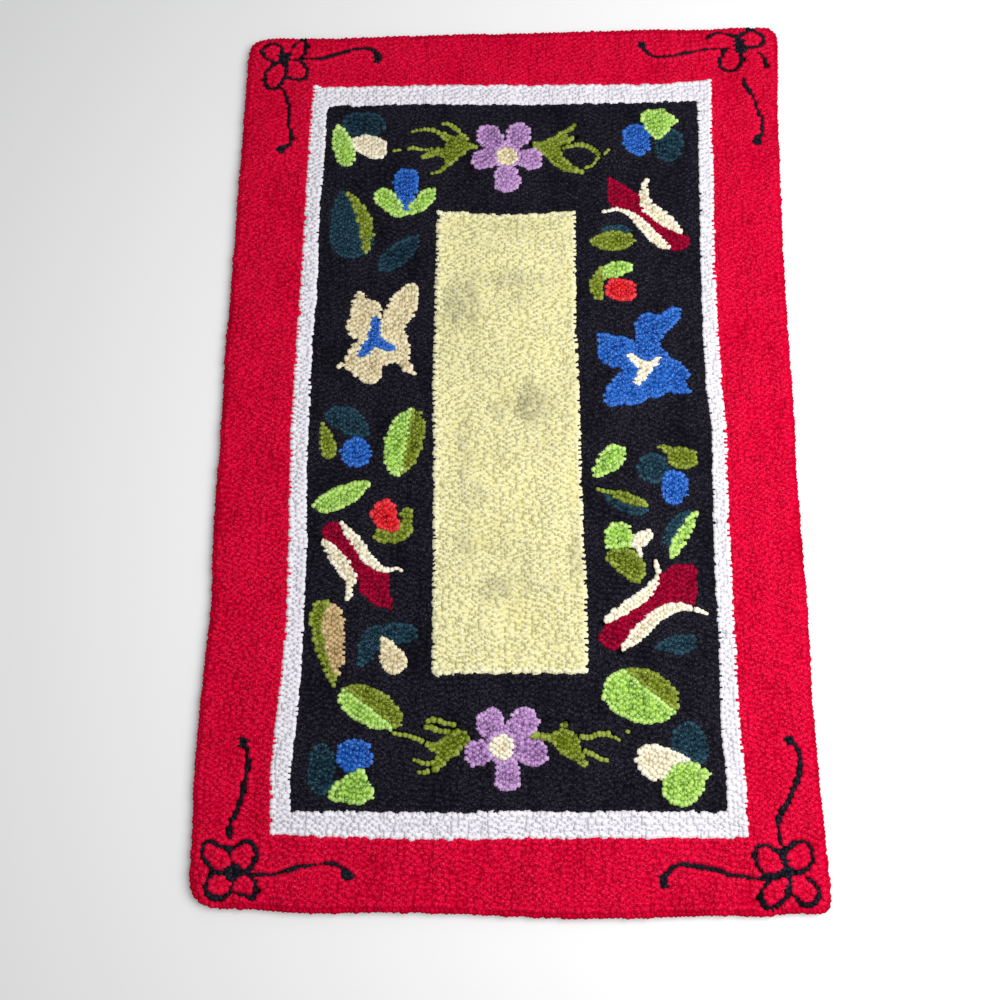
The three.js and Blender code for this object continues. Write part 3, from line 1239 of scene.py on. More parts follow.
    def follow(self, path: Array, yarn: int, row: int, rng: np.random.Generator) -> Loops:
        """Works one row of loops along a path.

        Args:
            path: rows of x, y and the width to work.
            yarn: number of the yarn.
            row: number of the row.
            rng: where the unevenness comes from.

        Returns:
            The loops.
        """
        run = np.append(0, np.cumsum(np.hypot(*np.diff(path[:, :2], axis=0).T)))
        length = self.share_out(run[-1], self.line_step, rng)
        middle = np.cumsum(length) - length / 2
        before = [np.interp(middle - length / 2, run, path[:, axis]) for axis in (0, 1)]
        after = [np.interp(middle + length / 2, run, path[:, axis]) for axis in (0, 1)]
        heading = np.arctan2(before[0] - after[0], after[1] - before[1])
        x, y, width = (np.interp(middle, run, path[:, axis]) for axis in (0, 1, 2))
        return self.loops_at(x, y, yarn, length, row, heading, width / self.line_width)

    def edge_row(self, row: int) -> Loops:
        """Works the row that goes right round the rug.

        Args:
            row: number of the row.

        Returns:
            The loops.
        """
        ring = self.outline.inset(self.edging)
        ring = np.vstack([ring, ring[:1]])
        path = np.column_stack([ring, np.full(len(ring), self.line_width)])
        loops = self.follow(path, YARNS.index(Yarn.RED), row, Seed.EDGE_ROW.draws())
        loops.yarn = self.drawing.yarns_at(loops.x, loops.y)
        return loops

    def thin_lines(self, row: int) -> list[Loops]:
        """Works the thin lines of the drawing, each along itself.

        Args:
            row: number of the first line.

        Returns:
            The loops of each line, where nothing else lies over it.
        """
        rng = Seed.THIN_LINES.draws()
        worked = []
        for motif in self.drawing.motifs:
            if not isinstance(motif.shape, Stroke):
                continue
            yarn = YARNS.index(motif.yarn)
            for run in motif.shape.thin_runs():
                loops = self.follow(run, yarn, row + len(worked), rng)
                shown = self.drawing.on_line(loops.x, loops.y)
                shown &= self.drawing.yarns_at(loops.x, loops.y) == yarn
                shown &= self.outline.inside(loops.x, loops.y, self.line_edge_room)
                worked.append(loops.pick(shown))
        return worked


@dataclass
class LoopShape:
    """One loop of yarn, standing on the cloth, with its row along Y. Sizes are in millimetres.

    Attributes:
        wide: width of the yarn at the crown.
        tall: thickness of the yarn at the crown, from top to bottom.
        foot: height of the cloth in which the yarn disappears.
        shoulder: height of the yarn's middle where it bends over.
        crown: height of the yarn's middle at its highest.
        shoulder_out: how far out the shoulders are, as a share of the loop's room.
        foot_out: how far out the feet are, as a share of the loop's room.
        slimmer: how wide the shoulders are, as a share of the crown.
    """

    wide: float = 6.4
    tall: float = 2.8
    foot: float = 1.6
    shoulder: float = 7.3
    crown: float = 8.0
    shoulder_out: float = 0.52
    foot_out: float = 0.3
    slimmer: float = 0.95

    def build(self) -> BMesh:
        """Shapes the loop from a ball of four sides.

        The ball's poles become the feet, its middle ring the crown, and the rings between them, which
        lie 0.71 out from the middle, the shoulders.

        Returns:
            The loop at a room of 1 along Y, which is stretched to the real one when the loop is placed.
        """
        near_pole = 0.9
        near_middle = 0.1
        bm = bmesh.new()
        bm.loops.layers.uv.new("yarn")
        bmesh.ops.create_uvsphere(bm, u_segments=4, v_segments=4, radius=1, calc_uvs=True)
        bmesh.ops.rotate(bm, verts=bm.verts, matrix=Matrix.Rotation(FULL_TURN / 8, 3, "Z"))
        bmesh.ops.rotate(bm, verts=bm.verts, matrix=Matrix.Rotation(FULL_TURN / 4, 3, "X"))
        crown = [v for v in bm.verts if abs(v.co.y) < near_middle]
        for end in (-1, 1):
            foot = [v for v in bm.verts if v.co.y * end > near_pole]
            shoulder = [v for v in bm.verts if near_middle < v.co.y * end < near_pole]
            self.place(bm, foot, end * self.foot_out, self.foot, 1)
            self.place(bm, shoulder, end * self.shoulder_out, self.shoulder, self.slimmer)
        self.place(bm, crown, 0, self.crown, 1)
        bmesh.ops.recalc_face_normals(bm, faces=bm.faces)
        return bm

    def place(self, bm: BMesh, verts: list[BMVert], y: float, z: float, widen: float) -> None:
        """Moves one ring of the loop to its place and size.

        Args:
            bm: the loop.
            verts: the ring's vertices.
            y: the ring's place along the row, as a share of the loop's room.
            z: the ring's height.
            widen: how thick the yarn is there, as a share of the crown.
        """
        bmesh.ops.scale(bm, verts=verts, vec=(widen * self.wide / 2, 1, widen * self.tall / 2))
        middle = sum((v.co for v in verts), Vector()) / len(verts)
        bmesh.ops.translate(bm, verts=verts, vec=(0, y - middle.y, z - middle.z))


class Part(Enum):
    """The part of the rug whose loops one piece holds."""

    ALL = "all"
    LEFT = "left"
    RIGHT = "right"
    ENDS = "ends"
    NEAR = "near"
    FAR = "far"

    def holds(self, x: Array, y: Array) -> Array:
        """Says which places belong to this part.

        Args:
            x: places across the rug.
            y: places along the rug.

        Returns:
            True for each place in the part.
        """
        side = 226.0  # where the red border's long sides begin
        return {
            Part.ALL: np.full(x.shape, True),
            Part.LEFT: x < -side,
            Part.RIGHT: x > side,
            Part.ENDS: np.abs(x) <= side,
            Part.NEAR: y < 0,
            Part.FAR: y >= 0,
        }[self]


PARTS = {
    Yarn.RED: (Part.LEFT, Part.RIGHT, Part.ENDS),
    Yarn.BLACK: (Part.NEAR, Part.FAR),
}


@dataclass(frozen=True)
class Smudge:
    """A soft, greyish mark where the pale panel has been trodden: its place, its size and its strength."""

    x: float
    y: float
    wide: float
    long: float
    strength: float

    def at(self, x: Array, y: Array) -> Array:
        """How strong the mark is at each place."""
        spread = ((x - self.x) / self.wide) ** 2 + ((y - self.y) / self.long) ** 2
        return self.strength * np.exp(-spread)


SMUDGES = [Smudge(*row) for row in (
    (-52, 150, 18, 26, 0.26), (-39, 132, 8, 40, 0.2), (-64, 125, 14, 30, 0.15),
    (0, 172, 34, 9, 0.22), (8, 148, 20, 12, 0.14), (-20, 70, 26, 30, 0.08), (25, 24, 13, 20, 0.42),
    (36, 36, 30, 18, 0.16), (22, 46, 6, 12, 0.2), (-12, 24, 7, 12, 0.24), (20, -12, 30, 12, 0.1),
    (-44, -20, 8, 48, 0.18), (-30, -70, 12, 12, 0.16), (-42, -120, 8, 26, 0.24),
    (-14, -126, 22, 12, 0.12), (-12, -164, 16, 11, 0.3), (18, -150, 14, 28, 0.15),
    (42, -163, 16, 8, 0.15), (72, -130, 9, 28, 0.2), (0, 236, 50, 14, 0.1),
)]


def finished(bm: BMesh, name: str) -> Mesh:
    """Turns what the operators have made into a mesh."""
    mesh = bpy.data.meshes.new(name)
    bm.to_mesh(mesh)
    bm.free()
    return mesh


def placed(mesh: Mesh, material: Material) -> Object:
    """Puts a finished mesh in the scene.

    Args:
        mesh: the mesh, which gives the object its name.
        material: its material.

    Returns:
        The object.
    """
    mesh.materials.append(material)
    piece = bpy.data.objects.new(mesh.name, mesh)
    bpy.context.scene.collection.objects.link(piece)
    log.info("%s: %d faces", piece.name, len(mesh.polygons))
    return piece


@dataclass
class Pile:
    """All the loops of yarn, one joined mesh for each yarn and part of the rug.

    Attributes:
        outline: the rug's edge.
        loops: where the loops are.
        shape: one loop.
        widths: least and most width of a loop, as a share of the usual.
        rooms: least and most length of a loop, as a share of its room.
        plump_room: how much longer it is for each share that its yarn is plumper.
        fine_turn: how much of the finer swirl is added to the coarse one.
        turn: how much the swirl differs from loop to loop.
        held: how much of the swirl a loop of a thin line keeps.
        edge_calm: how much less the loops at the edge turn, as a share.
        rise_wave: how much the pile's height changes over the rug.
        rise_spread: how much it changes from loop to loop.
        short: a loop with less room than this stands lower.
        short_drop: by how much, for each millimetre that it lacks, up to most_short.
        line_sunk: how much lower the black lines in the border stand.
        lean: how far the loops lean, for each millimetre of height.
        drift: how far they stand from their places.
        roll: how far from the edge they begin to roll over.
        roll_drop: how much lower they stand at the edge, as a share.
        roll_lean: how far they lean out there, for each millimetre of height.
        roll_foot: how much lower their feet are there.
    """

    outline: Outline
    loops: Loops
    shape: LoopShape = field(default_factory=LoopShape)
    widths: Point = (0.94, 1.1)
    rooms: Point = (1.08, 1.24)
    plump_room: float = 0.5
    fine_turn: float = 0.5
    turn: float = 0.45
    held: float = 0.3
    edge_calm: float = 0.6
    rise_wave: float = 0.35
    rise_spread: float = 0.2
    short: float = 4.0
    short_drop: float = 0.15
    most_short: float = 2.0
    line_sunk: float = 0.1
    lean: float = 0.04
    drift: float = 0.25
    roll: float = 7.0
    roll_drop: float = 0.3
    roll_lean: float = 0.12
    roll_foot: float = 0.9

    def build(self, finishes: "YarnMaterials") -> list[Object]:
        """Builds and dresses every piece of the pile.

        Args:
            finishes: the yarns' materials.

        Returns:
            The pieces.
        """
        template = self.shape.build()
        pieces = []
        for number, yarn in enumerate(YARNS):
            for part in PARTS.get(yarn, (Part.ALL,)):
                chosen = (self.loops.yarn == number) & part.holds(self.loops.x, self.loops.y)
                name = f"{yarn.name.lower()}_pile" + ("" if part is Part.ALL else f"_{part.value}")
                mesh = self.joined(name, template, self.loops.pick(chosen), yarn)
                piece = placed(mesh, finishes.of(yarn))
                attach(piece, BODY)
                pieces.append(piece)
        template.free()
        return pieces

    def joined(self, name: str, template: BMesh, loops: Loops, yarn: Yarn) -> Mesh:
        """Joins one copy of the template for each loop into one mesh.

        Args:
            name: the mesh's name.
            template: one loop.
            loops: where the loops go.
            yarn: the yarn they are hooked with.

        Returns:
            The mesh, with how light and how soiled each loop is, and how much painted highlight it gets
            beside another yarn.
        """
        template.verts.ensure_lookup_table()
        uv_layer = template.loops.layers.uv["yarn"]
        template_corners = [corner for face in template.faces for corner in face.loops]
        corner_verts = np.array([corner.vert.index for corner in template_corners])
        uv = np.array([corner[uv_layer].uv for corner in template_corners])
        sizes = np.array([len(face.loops) for face in template.faces])
        base = np.array([v.co for v in template.verts])
        count = len(loops.x)
        per_loop = len(base)
        co = self.stand(base, loops, yarn)

        mesh = bpy.data.meshes.new(name)
        mesh.vertices.add(count * per_loop)
        mesh.vertices.foreach_set("co", (co * MM).astype(np.float32).ravel())
        corners = (np.arange(count)[:, None] * per_loop + corner_verts).ravel()
        mesh.loops.add(len(corners))
        mesh.loops.foreach_set("vertex_index", corners.astype(np.int32))
        mesh.polygons.add(count * len(sizes))
        starts = np.concatenate([[0], np.cumsum(np.tile(sizes, count))[:-1]])
        mesh.polygons.foreach_set("loop_start", starts.astype(np.int32))
        mesh.update(calc_edges=True)
        mesh.polygons.foreach_set("use_smooth", np.ones(count * len(sizes), bool))

        twist = mesh.uv_layers.new(name="yarn")
        twist.uv.foreach_set("vector", np.tile(uv, (count, 1)).astype(np.float32).ravel())
        plan = mesh.uv_layers.new(name="OFBake")
        plan.uv.foreach_set("vector", self.plan_map(co.reshape(-1, 3)[corners, :2]).ravel())
        # rim is the strength of the painted highlight on loops beside another yarn
        looks = {"shade": self.shades(loops, yarn), "soil": self.soils(loops, yarn),
                 "rim": loops.rimmed * yarn.value.rim}
        for label, values in looks.items():
            attribute = mesh.attributes.new(label, "FLOAT", "POINT")
            attribute.data.foreach_set("value", np.repeat(values, per_loop).astype(np.float32))
        return mesh

    @staticmethod
    def plan_map(points: Array) -> Array:
        """Lays a piece out flat as it is seen from above, filling the map.

        Args:
            points: rows of x and y.

        Returns:
            Rows of map coordinates, from 0 to 1.
        """
        low, high = points.min(0), points.max(0)
        return ((points - low) / (high - low)).astype(np.float32)

    def stand(self, base: Array, loops: Loops, yarn: Yarn) -> Array:
        """Stands each loop in its place, a little uneven as hand work is.

        Args:
            base: the template's points.
            loops: where the loops go.
            yarn: the yarn they are hooked with.

        Returns:
            The points of every loop, in millimetres.
        """
        count = len(loops.x)
        rng = np.random.default_rng(YARNS.index(yarn) * 10 + count)
        finish = yarn.value
        distance, towards = self.outline.rim(loops.x, loops.y)
        edge = np.clip(1 - distance / self.roll, 0, 1)
        in_line = loops.width != 1
        in_border = in_line & (yarn is Yarn.BLACK)

        width = rng.uniform(*self.widths, count) * loops.width * np.where(in_line, 1, finish.plump)
        room = loops.length * rng.uniform(*self.rooms, count) * (1 + self.plump_room * (finish.plump - 1))
        swirl = Ripple.TURN.at(loops.x, loops.y) + self.fine_turn * Ripple.FINE_TURN.at(loops.x, loops.y)
        turned = np.radians(finish.swirl * (swirl + rng.normal(0, self.turn, count)))
        turned = turned * (1 - self.edge_calm * edge)
        heading = np.where(in_line, self.held, 1) * turned + loops.heading
        rise = finish.lift + self.rise_wave * Ripple.RISE.at(loops.x, loops.y)
        rise = rise + rng.normal(0, self.rise_spread, count) - np.where(in_border, self.line_sunk, 0)
        rise -= self.short_drop * np.clip(self.short - loops.length, 0, self.most_short)
        scale = 1 + rise / self.shape.crown - self.roll_drop * edge ** 2

        x = base[None, :, 0] * width[:, None]
        y = base[None, :, 1] * room[:, None]
        cos, sin = np.cos(heading)[:, None], np.sin(heading)[:, None]
        foot = self.shape.foot
        height = (base[None, :, 2] - foot) * scale[:, None]
        lean = edge[:, None] * self.roll_lean * towards + rng.normal(0, self.lean, (count, 2))
        drift = rng.normal(0, self.drift, (count, 2))
        sideways = loops.x[:, None] + drift[:, :1] + x * cos - y * sin + height * lean[:, :1]
        along = loops.y[:, None] + drift[:, 1:] + x * sin + y * cos + height * lean[:, 1:]
        at_foot = base[None, :, 2] < foot + 1
        sunk = foot - self.roll_foot * edge[:, None] * at_foot
        return np.stack([sideways, along, height + sunk], axis=2)

    @staticmethod
    def shades(loops: Loops, yarn: Yarn) -> Array:
        """How light each loop is: its dye took a little unevenly, row by row and loop by loop,
        and the loops beside another yarn are made lighter as a painted highlight.

        Args:
            loops: the loops.
            yarn: their yarn.

        Returns:
            A value round 0.5 for each loop.
        """
        middle = 0.5
        neighbours = [0.25, 0.5, 0.25]  # what a row takes from the row before it, itself and the next
        narrow, long = 2.5, 0.25
        broad = 0.6
        by_fading, fading_streaks = 0.05, 0.8
        # painted highlight: extra lightness for loops that border on another yarn
        rim_highlight = 0.2
        rng = np.random.default_rng(YARNS.index(yarn) * 10 + 5)
        by_row = rng.normal(0, 1, loops.row.max() + 1)
        by_row = np.convolve(by_row, neighbours, "same")[loops.row]
        fading = broad * Ripple.FADE.at(loops.x, loops.y)
        fading += Ripple.STREAK.at(loops.x * narrow, loops.y * long)
        loose = rng.normal(0, yarn.value.uneven, len(loops.x)) + rim_highlight * loops.rimmed
        streaks = yarn.value.streak * (by_row + fading_streaks * fading)
        return np.clip(middle + streaks + by_fading * fading + loose, 0, 1)

    @staticmethod
    def soils(loops: Loops, yarn: Yarn) -> Array:
        """How soiled each loop is.

        Args:
            loops: the loops.
            yarn: their yarn.

        Returns:
            A value from 0 to 1 for each loop.
        """
        patchy_dust = 0.7
        patchy_stains = 0.45
        soil = yarn.value.soil * (1 + patchy_dust * Ripple.DUST.at(loops.x, loops.y))
        if yarn is Yarn.BUTTER:
            soil = soil + sum(mark.at(loops.x, loops.y) for mark in SMUDGES)
            soil = soil * (1 + patchy_stains * Ripple.STAIN.at(loops.x, loops.y))
        return np.clip(soil, 0, 1)


# ---- Materials ----


class Socket(Enum):
    """The kinds of value that a shader group takes and gives."""

    NUMBER = "NodeSocketFloat"
    VECTOR = "NodeSocketVector"
    COLOUR = "NodeSocketColor"


class Nodes:
    """Adds nodes to one shader tree and links them."""

    def __init__(self, tree: ShaderNodeTree) -> None:
        """Works on the given tree."""
        self.tree = tree

    def add(self, kind: str, **settings: object) -> ShaderNode:
        """Adds a node.

        Args:
            kind: its type, without the common beginning.
            settings: its own properties.

        Returns:
            The node.
        """
        node = self.tree.nodes.new("ShaderNode" + kind)
        for key, value in settings.items():
            setattr(node, key, value)
        return node

    def feed(self, target: NodeSocket, value: Value) -> None:
        """Links a socket, or sets its value."""
        if isinstance(value, NodeSocket):
            self.tree.links.new(value, target)
        else:
            target.default_value = value

    def use(self, group: ShaderNodeTree, values: dict[str, Value]) -> ShaderNode:
        """Adds a group and feeds its inputs.

        Args:
            group: the group.
            values: what each of its inputs takes.

        Returns:
            The group's node.
        """
        node = self.add("Group", node_tree=group)
        for label, value in values.items():
            self.feed(node.inputs[label], value)
        return node

    def place(self) -> NodeSocket:
        """Where each point of the surface is, in metres."""
        return self.add("TexCoord").outputs["Object"]

    def attribute(self, name: str, kind: str = "Fac") -> NodeSocket:
        """Reads an attribute of the mesh."""
        return self.add("Attribute", attribute_name=name).outputs[kind]

    def split(self, vector: Value) -> list[NodeSocket]:
        """Takes a vector apart into its three numbers."""
        node = self.add("SeparateXYZ")
        self.feed(node.inputs[0], vector)
        return list(node.outputs)

    def math(self, operation: str, *values: Value, clamp: bool = False) -> NodeSocket:
        """Adds one step of arithmetic.

        Args:
            operation: the step's name in Blender.
            values: numbers or sockets.
            clamp: whether the result is kept from 0 to 1.

        Returns:
            The result.
        """
        node = self.add("Math", operation=operation, use_clamp=clamp)
        for socket, value in zip(node.inputs, values):
            self.feed(socket, value)
        return node.outputs[0]

    def plus(self, first: Value, second: Value, clamp: bool = False) -> NodeSocket:
        """Adds two values."""
        return self.math("ADD", first, second, clamp=clamp)

    def times(self, first: Value, second: Value, clamp: bool = False) -> NodeSocket:
        """Multiplies two values."""
        return self.math("MULTIPLY", first, second, clamp=clamp)

    def about(self, value: Value, middle: Value, size: Value, clamp: bool = False) -> NodeSocket:
        """Moves a value's middle to 0 and multiplies it."""
        return self.times(self.math("SUBTRACT", value, middle), size, clamp)

    def wave(self, value: Value, turn: float) -> NodeSocket:
        """The sine of a value that goes once round in a turn of the given size."""
        return self.math("SINE", self.times(value, turn))

    def soft_step(self, value: Value, low: float, high: float) -> NodeSocket:
        """Goes softly from 0 at the low value to 1 at the high one."""
        node = self.add("MapRange", interpolation_type="SMOOTHSTEP")
        for socket, given in zip(node.inputs, (value, low, high, 0.0, 1.0)):
            self.feed(socket, given)
        return node.outputs[0]

    def mix(self, factor: Value, first: Value, second: Value) -> NodeSocket:
        """Mixes two colours.

        Args:
            factor: the share of the second colour.
            first: the first colour.
            second: the second colour.

        Returns:
            The mixed colour.
        """
        node = self.add("Mix", data_type="RGBA", clamp_factor=True)
        self.feed(node.inputs["Factor"], factor)
        self.feed(node.inputs[6], first)
        self.feed(node.inputs[7], second)
        return node.outputs[2]

    def noise(self, vector: Value, scale: float, detail: float) -> NodeSocket:
        """Adds a noise texture.

        Args:
            vector: the coordinates.
            scale: features in a unit.
            detail: how many finer layers it has.

        Returns:
            Its values, from 0 to 1.
        """
        node = self.add("TexNoise")
        self.feed(node.inputs["Vector"], vector)
        self.feed(node.inputs["Scale"], scale)
        self.feed(node.inputs["Detail"], detail)
        return node.outputs[0]


def new_group(name: str, inputs: dict[str, Socket], outputs: dict[str, Socket]) -> tuple[Nodes, dict, dict]:
    """Starts a shader group.

    Args:
        name: the group's name.
        inputs: name and kind of each input.
        outputs: name and kind of each output.

    Returns:
        The group's nodes, the sockets that hold its inputs, and the sockets that take its outputs.
    """
    tree = bpy.data.node_groups.new(name, "ShaderNodeTree")
    for way, sockets in (("INPUT", inputs), ("OUTPUT", outputs)):
        for label, kind in sockets.items():
            tree.interface.new_socket(label, in_out=way, socket_type=kind.value)
    given, result = tree.nodes.new("NodeGroupInput"), tree.nodes.new("NodeGroupOutput")
    return (Nodes(tree), {s.name: s for s in given.outputs if s.name},
            {s.name: s for s in result.inputs if s.name})


def new_material(name: str) -> tuple[Material, Nodes, ShaderNode]:
    """Starts a material.

    Args:
        name: the material's name.

    Returns:
        The material, its nodes, and its shader.
    """
    material = bpy.data.materials.new(name)
    material.use_nodes = True
    nodes = Nodes(material.node_tree)
    shader = material.node_tree.nodes["Principled BSDF"]
    shader.inputs["Roughness"].default_value = 0.9
    shader.inputs["Specular IOR Level"].default_value = 0.25
    return material, nodes, shader


def add_bump(nodes: Nodes, shader: ShaderNode, height: NodeSocket, metres: float) -> None:
    """Raises a surface by a height map.

    Args:
        nodes: the material's nodes.
        shader: its shader.
        height: the height, from 0 to 1.
        metres: how high 1 is.
    """
    bump = nodes.add("Bump")
    bump.inputs["Distance"].default_value = metres
    nodes.feed(bump.inputs["Height"], height)
    nodes.feed(shader.inputs["Normal"], bump.outputs[0])


def yarn_group() -> ShaderNodeTree:
    """The look of twisted wool yarn that stands in a loop: ply, fibres, painted shade in the depth, painted
    highlights, and soil.

    Its tone goes from the yarn's deep colour, at 0, to its tip colour, at 1. It mixes the dye's uneven take
    with painted shade lower in the pile and a painted highlight on each loop's ridge. Heights are in metres,
    and fibres, blotches and glint specks are counted in a metre. The ridge is the top of a loop, painted
    lighter as if it caught the light; its place is measured round the yarn and along it. Loops beside
    another yarn, and specks near the crown, are mixed towards the glint colour as painted highlights.

    Returns:
        The group.
    """
    turns = 3.0
    fibres, blotches, glint_specks = 1400, 160, 750
    out_of_shade = (0.0068, 0.0090)
    glint_heights = (0.0078, 0.0094)
    ridge_at = (0.625, 0.5)
    ridge_narrow = (8.0, 3.6)
    ridge_middle = 0.45
    by_depth_shade, by_shade, by_ply, by_fibre, by_blotch = 0.6, 1.1, 0.08, 0.32, 0.35
    speck_sharp, off_ridge = 5.0, 0.35
    least_soil = 0.7
    smoothest, rougher = 0.78, 0.2
    ply_share = 0.6
    number, vector, colour = Socket.NUMBER, Socket.VECTOR, Socket.COLOUR
    nodes, given, result = new_group(
        "twisted_yarn",
        {"Along yarn": vector, "Place": vector, "Shade": number, "Soil": number, "Rim": number,
         "Ridge": number, "Glint colour": colour, "Tip colour": colour, "Deep colour": colour,
         "Soil colour": colour},
        {"Color": colour, "Roughness": number, "Height": number},
    )
    place, glint = given["Place"], given["Glint colour"]
    height = nodes.split(place)[2]
    around, along, _ = nodes.split(given["Along yarn"])
    ply = nodes.math("ABSOLUTE", nodes.wave(nodes.plus(around, nodes.times(along, turns)), FULL_TURN))
    fibre = nodes.noise(place, fibres, 3)
    blotch = nodes.noise(place, blotches, 2)
    away = [nodes.math("POWER", nodes.math("ABSOLUTE", nodes.about(value, middle, narrow)), 2.0)
            for value, middle, narrow in zip((around, along), ridge_at, ridge_narrow)]
    ridge = nodes.math("SUBTRACT", 1.0, nodes.plus(*away), clamp=True)

    # painted shade: the tone darkens lower down in the pile, where the loops shade each other
    tone = nodes.plus(nodes.times(nodes.soft_step(height, *out_of_shade), by_depth_shade),
                      nodes.about(given["Shade"], 0.5, by_shade))
    # painted highlight: the ridge of each loop's crown is made lighter
    tone = nodes.plus(tone, nodes.about(ridge, ridge_middle, given["Ridge"]))
    tone = nodes.plus(tone, nodes.times(ply, by_ply))
    tone = nodes.plus(tone, nodes.about(fibre, 0.5, by_fibre))
    tone = nodes.plus(tone, nodes.about(blotch, 0.5, by_blotch), clamp=True)
    dyed = nodes.mix(tone, given["Deep colour"], given["Tip colour"])
    # painted highlight: loops beside another yarn pale towards the glint colour
    dyed = nodes.mix(nodes.times(given["Rim"], tone), dyed, glint)

    # painted glints: specks near the crown, most on the ridge, take the glint colour
    glint_speck = nodes.about(nodes.noise(place, glint_specks, 2), 0.5, speck_sharp, clamp=True)
    glint_speck = nodes.times(glint_speck, nodes.plus(off_ridge, ridge), clamp=True)
    dyed = nodes.mix(nodes.times(nodes.soft_step(height, *glint_heights), glint_speck), dyed, glint)
    soil = nodes.times(given["Soil"], nodes.plus(least_soil, blotch), clamp=True)
    nodes.feed(result["Color"], nodes.mix(soil, dyed, given["Soil colour"]))
    nodes.feed(result["Roughness"], nodes.plus(smoothest, nodes.times(fibre, rougher)))
    relief = nodes.plus(nodes.times(ply, ply_share), nodes.times(fibre, 1 - ply_share))
    nodes.feed(result["Height"], relief)
    return nodes.tree


@dataclass(frozen=True)
class JuteLook:
    """The finish of plain woven jute: threads over and under each other, with slubs, a painted highlight on
    the threads' tops and painted shade in the dips.

    Attributes:
        threads: threads in a metre.
        slubs: slubs in a metre.
        light: the threads' colour where they stand out, as a painted highlight.
        dark: their colour in the dips, as painted shade.
        shadow: the colour of the upper side, in the dark between the loops.
        top_highlight: how much lighter the threads' tops are, as a painted highlight.
        by_slub: how much lighter the slubs are.
        relief: how high the threads stand, in metres.
    """

    threads: float = 560.0
    slubs: float = 240.0
    light: Colour = linear("c6a878")
    dark: Colour = linear("6e5430")
    shadow: Colour = linear("1c120c")
    top_highlight: float = 0.6
    by_slub: float = 0.5
    relief: float = 0.0005

    def group(self) -> ShaderNodeTree:
        """Builds the shader group of the weave.

        Returns:
            The group.
        """
        number, colour = Socket.NUMBER, Socket.COLOUR
        nodes, given, result = new_group(
            "plain_weave",
            {"Place": Socket.VECTOR, "Threads per metre": number, "Light colour": colour,
             "Dark colour": colour},
            {"Color": colour, "Height": number},
        )
        across, along, _ = nodes.split(given["Place"])
        waves = [nodes.wave(nodes.times(way, given["Threads per metre"]), math.pi) for way in (across, along)]
        over, under = (nodes.math("ABSOLUTE", wave) for wave in waves)
        pick = nodes.math("GREATER_THAN", nodes.times(*waves), 0.0)
        height = nodes.plus(nodes.times(pick, over), nodes.times(nodes.math("SUBTRACT", 1.0, pick), under))
        slub = nodes.noise(given["Place"], self.slubs, 3)
        # painted light and shade: the threads' tops are lighter and the dips darker
        tone = nodes.plus(nodes.times(height, self.top_highlight), nodes.times(slub, self.by_slub), clamp=True)
        nodes.feed(result["Color"], nodes.mix(tone, given["Dark colour"], given["Light colour"]))
        nodes.feed(result["Height"], height)
        return nodes.tree

    def material(self, shaded_from: float) -> Material:
        """Makes the material.

        Args:
            shaded_from: height from which the cloth lies between the loops, in metres.

        Returns:
            The material.
        """
        material, nodes, shader = new_material("jute_cloth")
        place = nodes.place()
        look = nodes.use(self.group(), {"Place": place, "Threads per metre": self.threads,
                                        "Light colour": self.light, "Dark colour": self.dark})
        among_loops = nodes.math("GREATER_THAN", nodes.split(place)[2], shaded_from)
        shaded = nodes.mix(among_loops, look.outputs["Color"], self.shadow)
        nodes.feed(shader.inputs["Base Color"], shaded)
        add_bump(nodes, shader, look.outputs["Height"], self.relief)
        return material


@dataclass(frozen=True)
class StitchLook:
    """The finish of the flat stitches: a low dome each, darkened by painted shade in the dips between them.

    Attributes:
        between: the colour of the painted shade in the dips.
        fibres: fibres in a metre.
        least_dome: the tone that the painted shade leaves in the dips.
        least_fibre: the tone that the palest fibres keep.
        worn: how much of the yarn's lightness is left.
        uneven: the least and the most of that from stitch to stitch.
        relief: how high the domes stand, in metres.
    """

    between: Colour = (0.03, 0.022, 0.014, 1)
    fibres: float = 900.0
    least_dome: float = 0.15
    least_fibre: float = 0.5
    worn: float = 0.8
    uneven: Point = (0.75, 1.1)
    relief: float = 0.0008

    def material(self) -> Material:
        """Makes the material, which takes each stitch's colour from the mesh.

        Returns:
            The material.
        """
        material, nodes, shader = new_material("flat_yarn")
        ways = nodes.split(nodes.add("UVMap", uv_map="stitch").outputs[0])[:2]
        domes = [nodes.math("ABSOLUTE", nodes.wave(way, math.pi)) for way in ways]
        dome = nodes.math("SQRT", nodes.times(*domes))
        fibre = nodes.noise(nodes.place(), self.fibres, 3)
        # painted shade: each stitch darkens from its middle towards the dips at its edges
        tone = nodes.times(nodes.plus(dome, self.least_dome), nodes.plus(fibre, self.least_fibre), clamp=True)
        dyed = nodes.mix(tone, self.between, nodes.attribute("dye", "Color"))
        nodes.feed(shader.inputs["Base Color"], dyed)
        add_bump(nodes, shader, dome, self.relief)
        return material


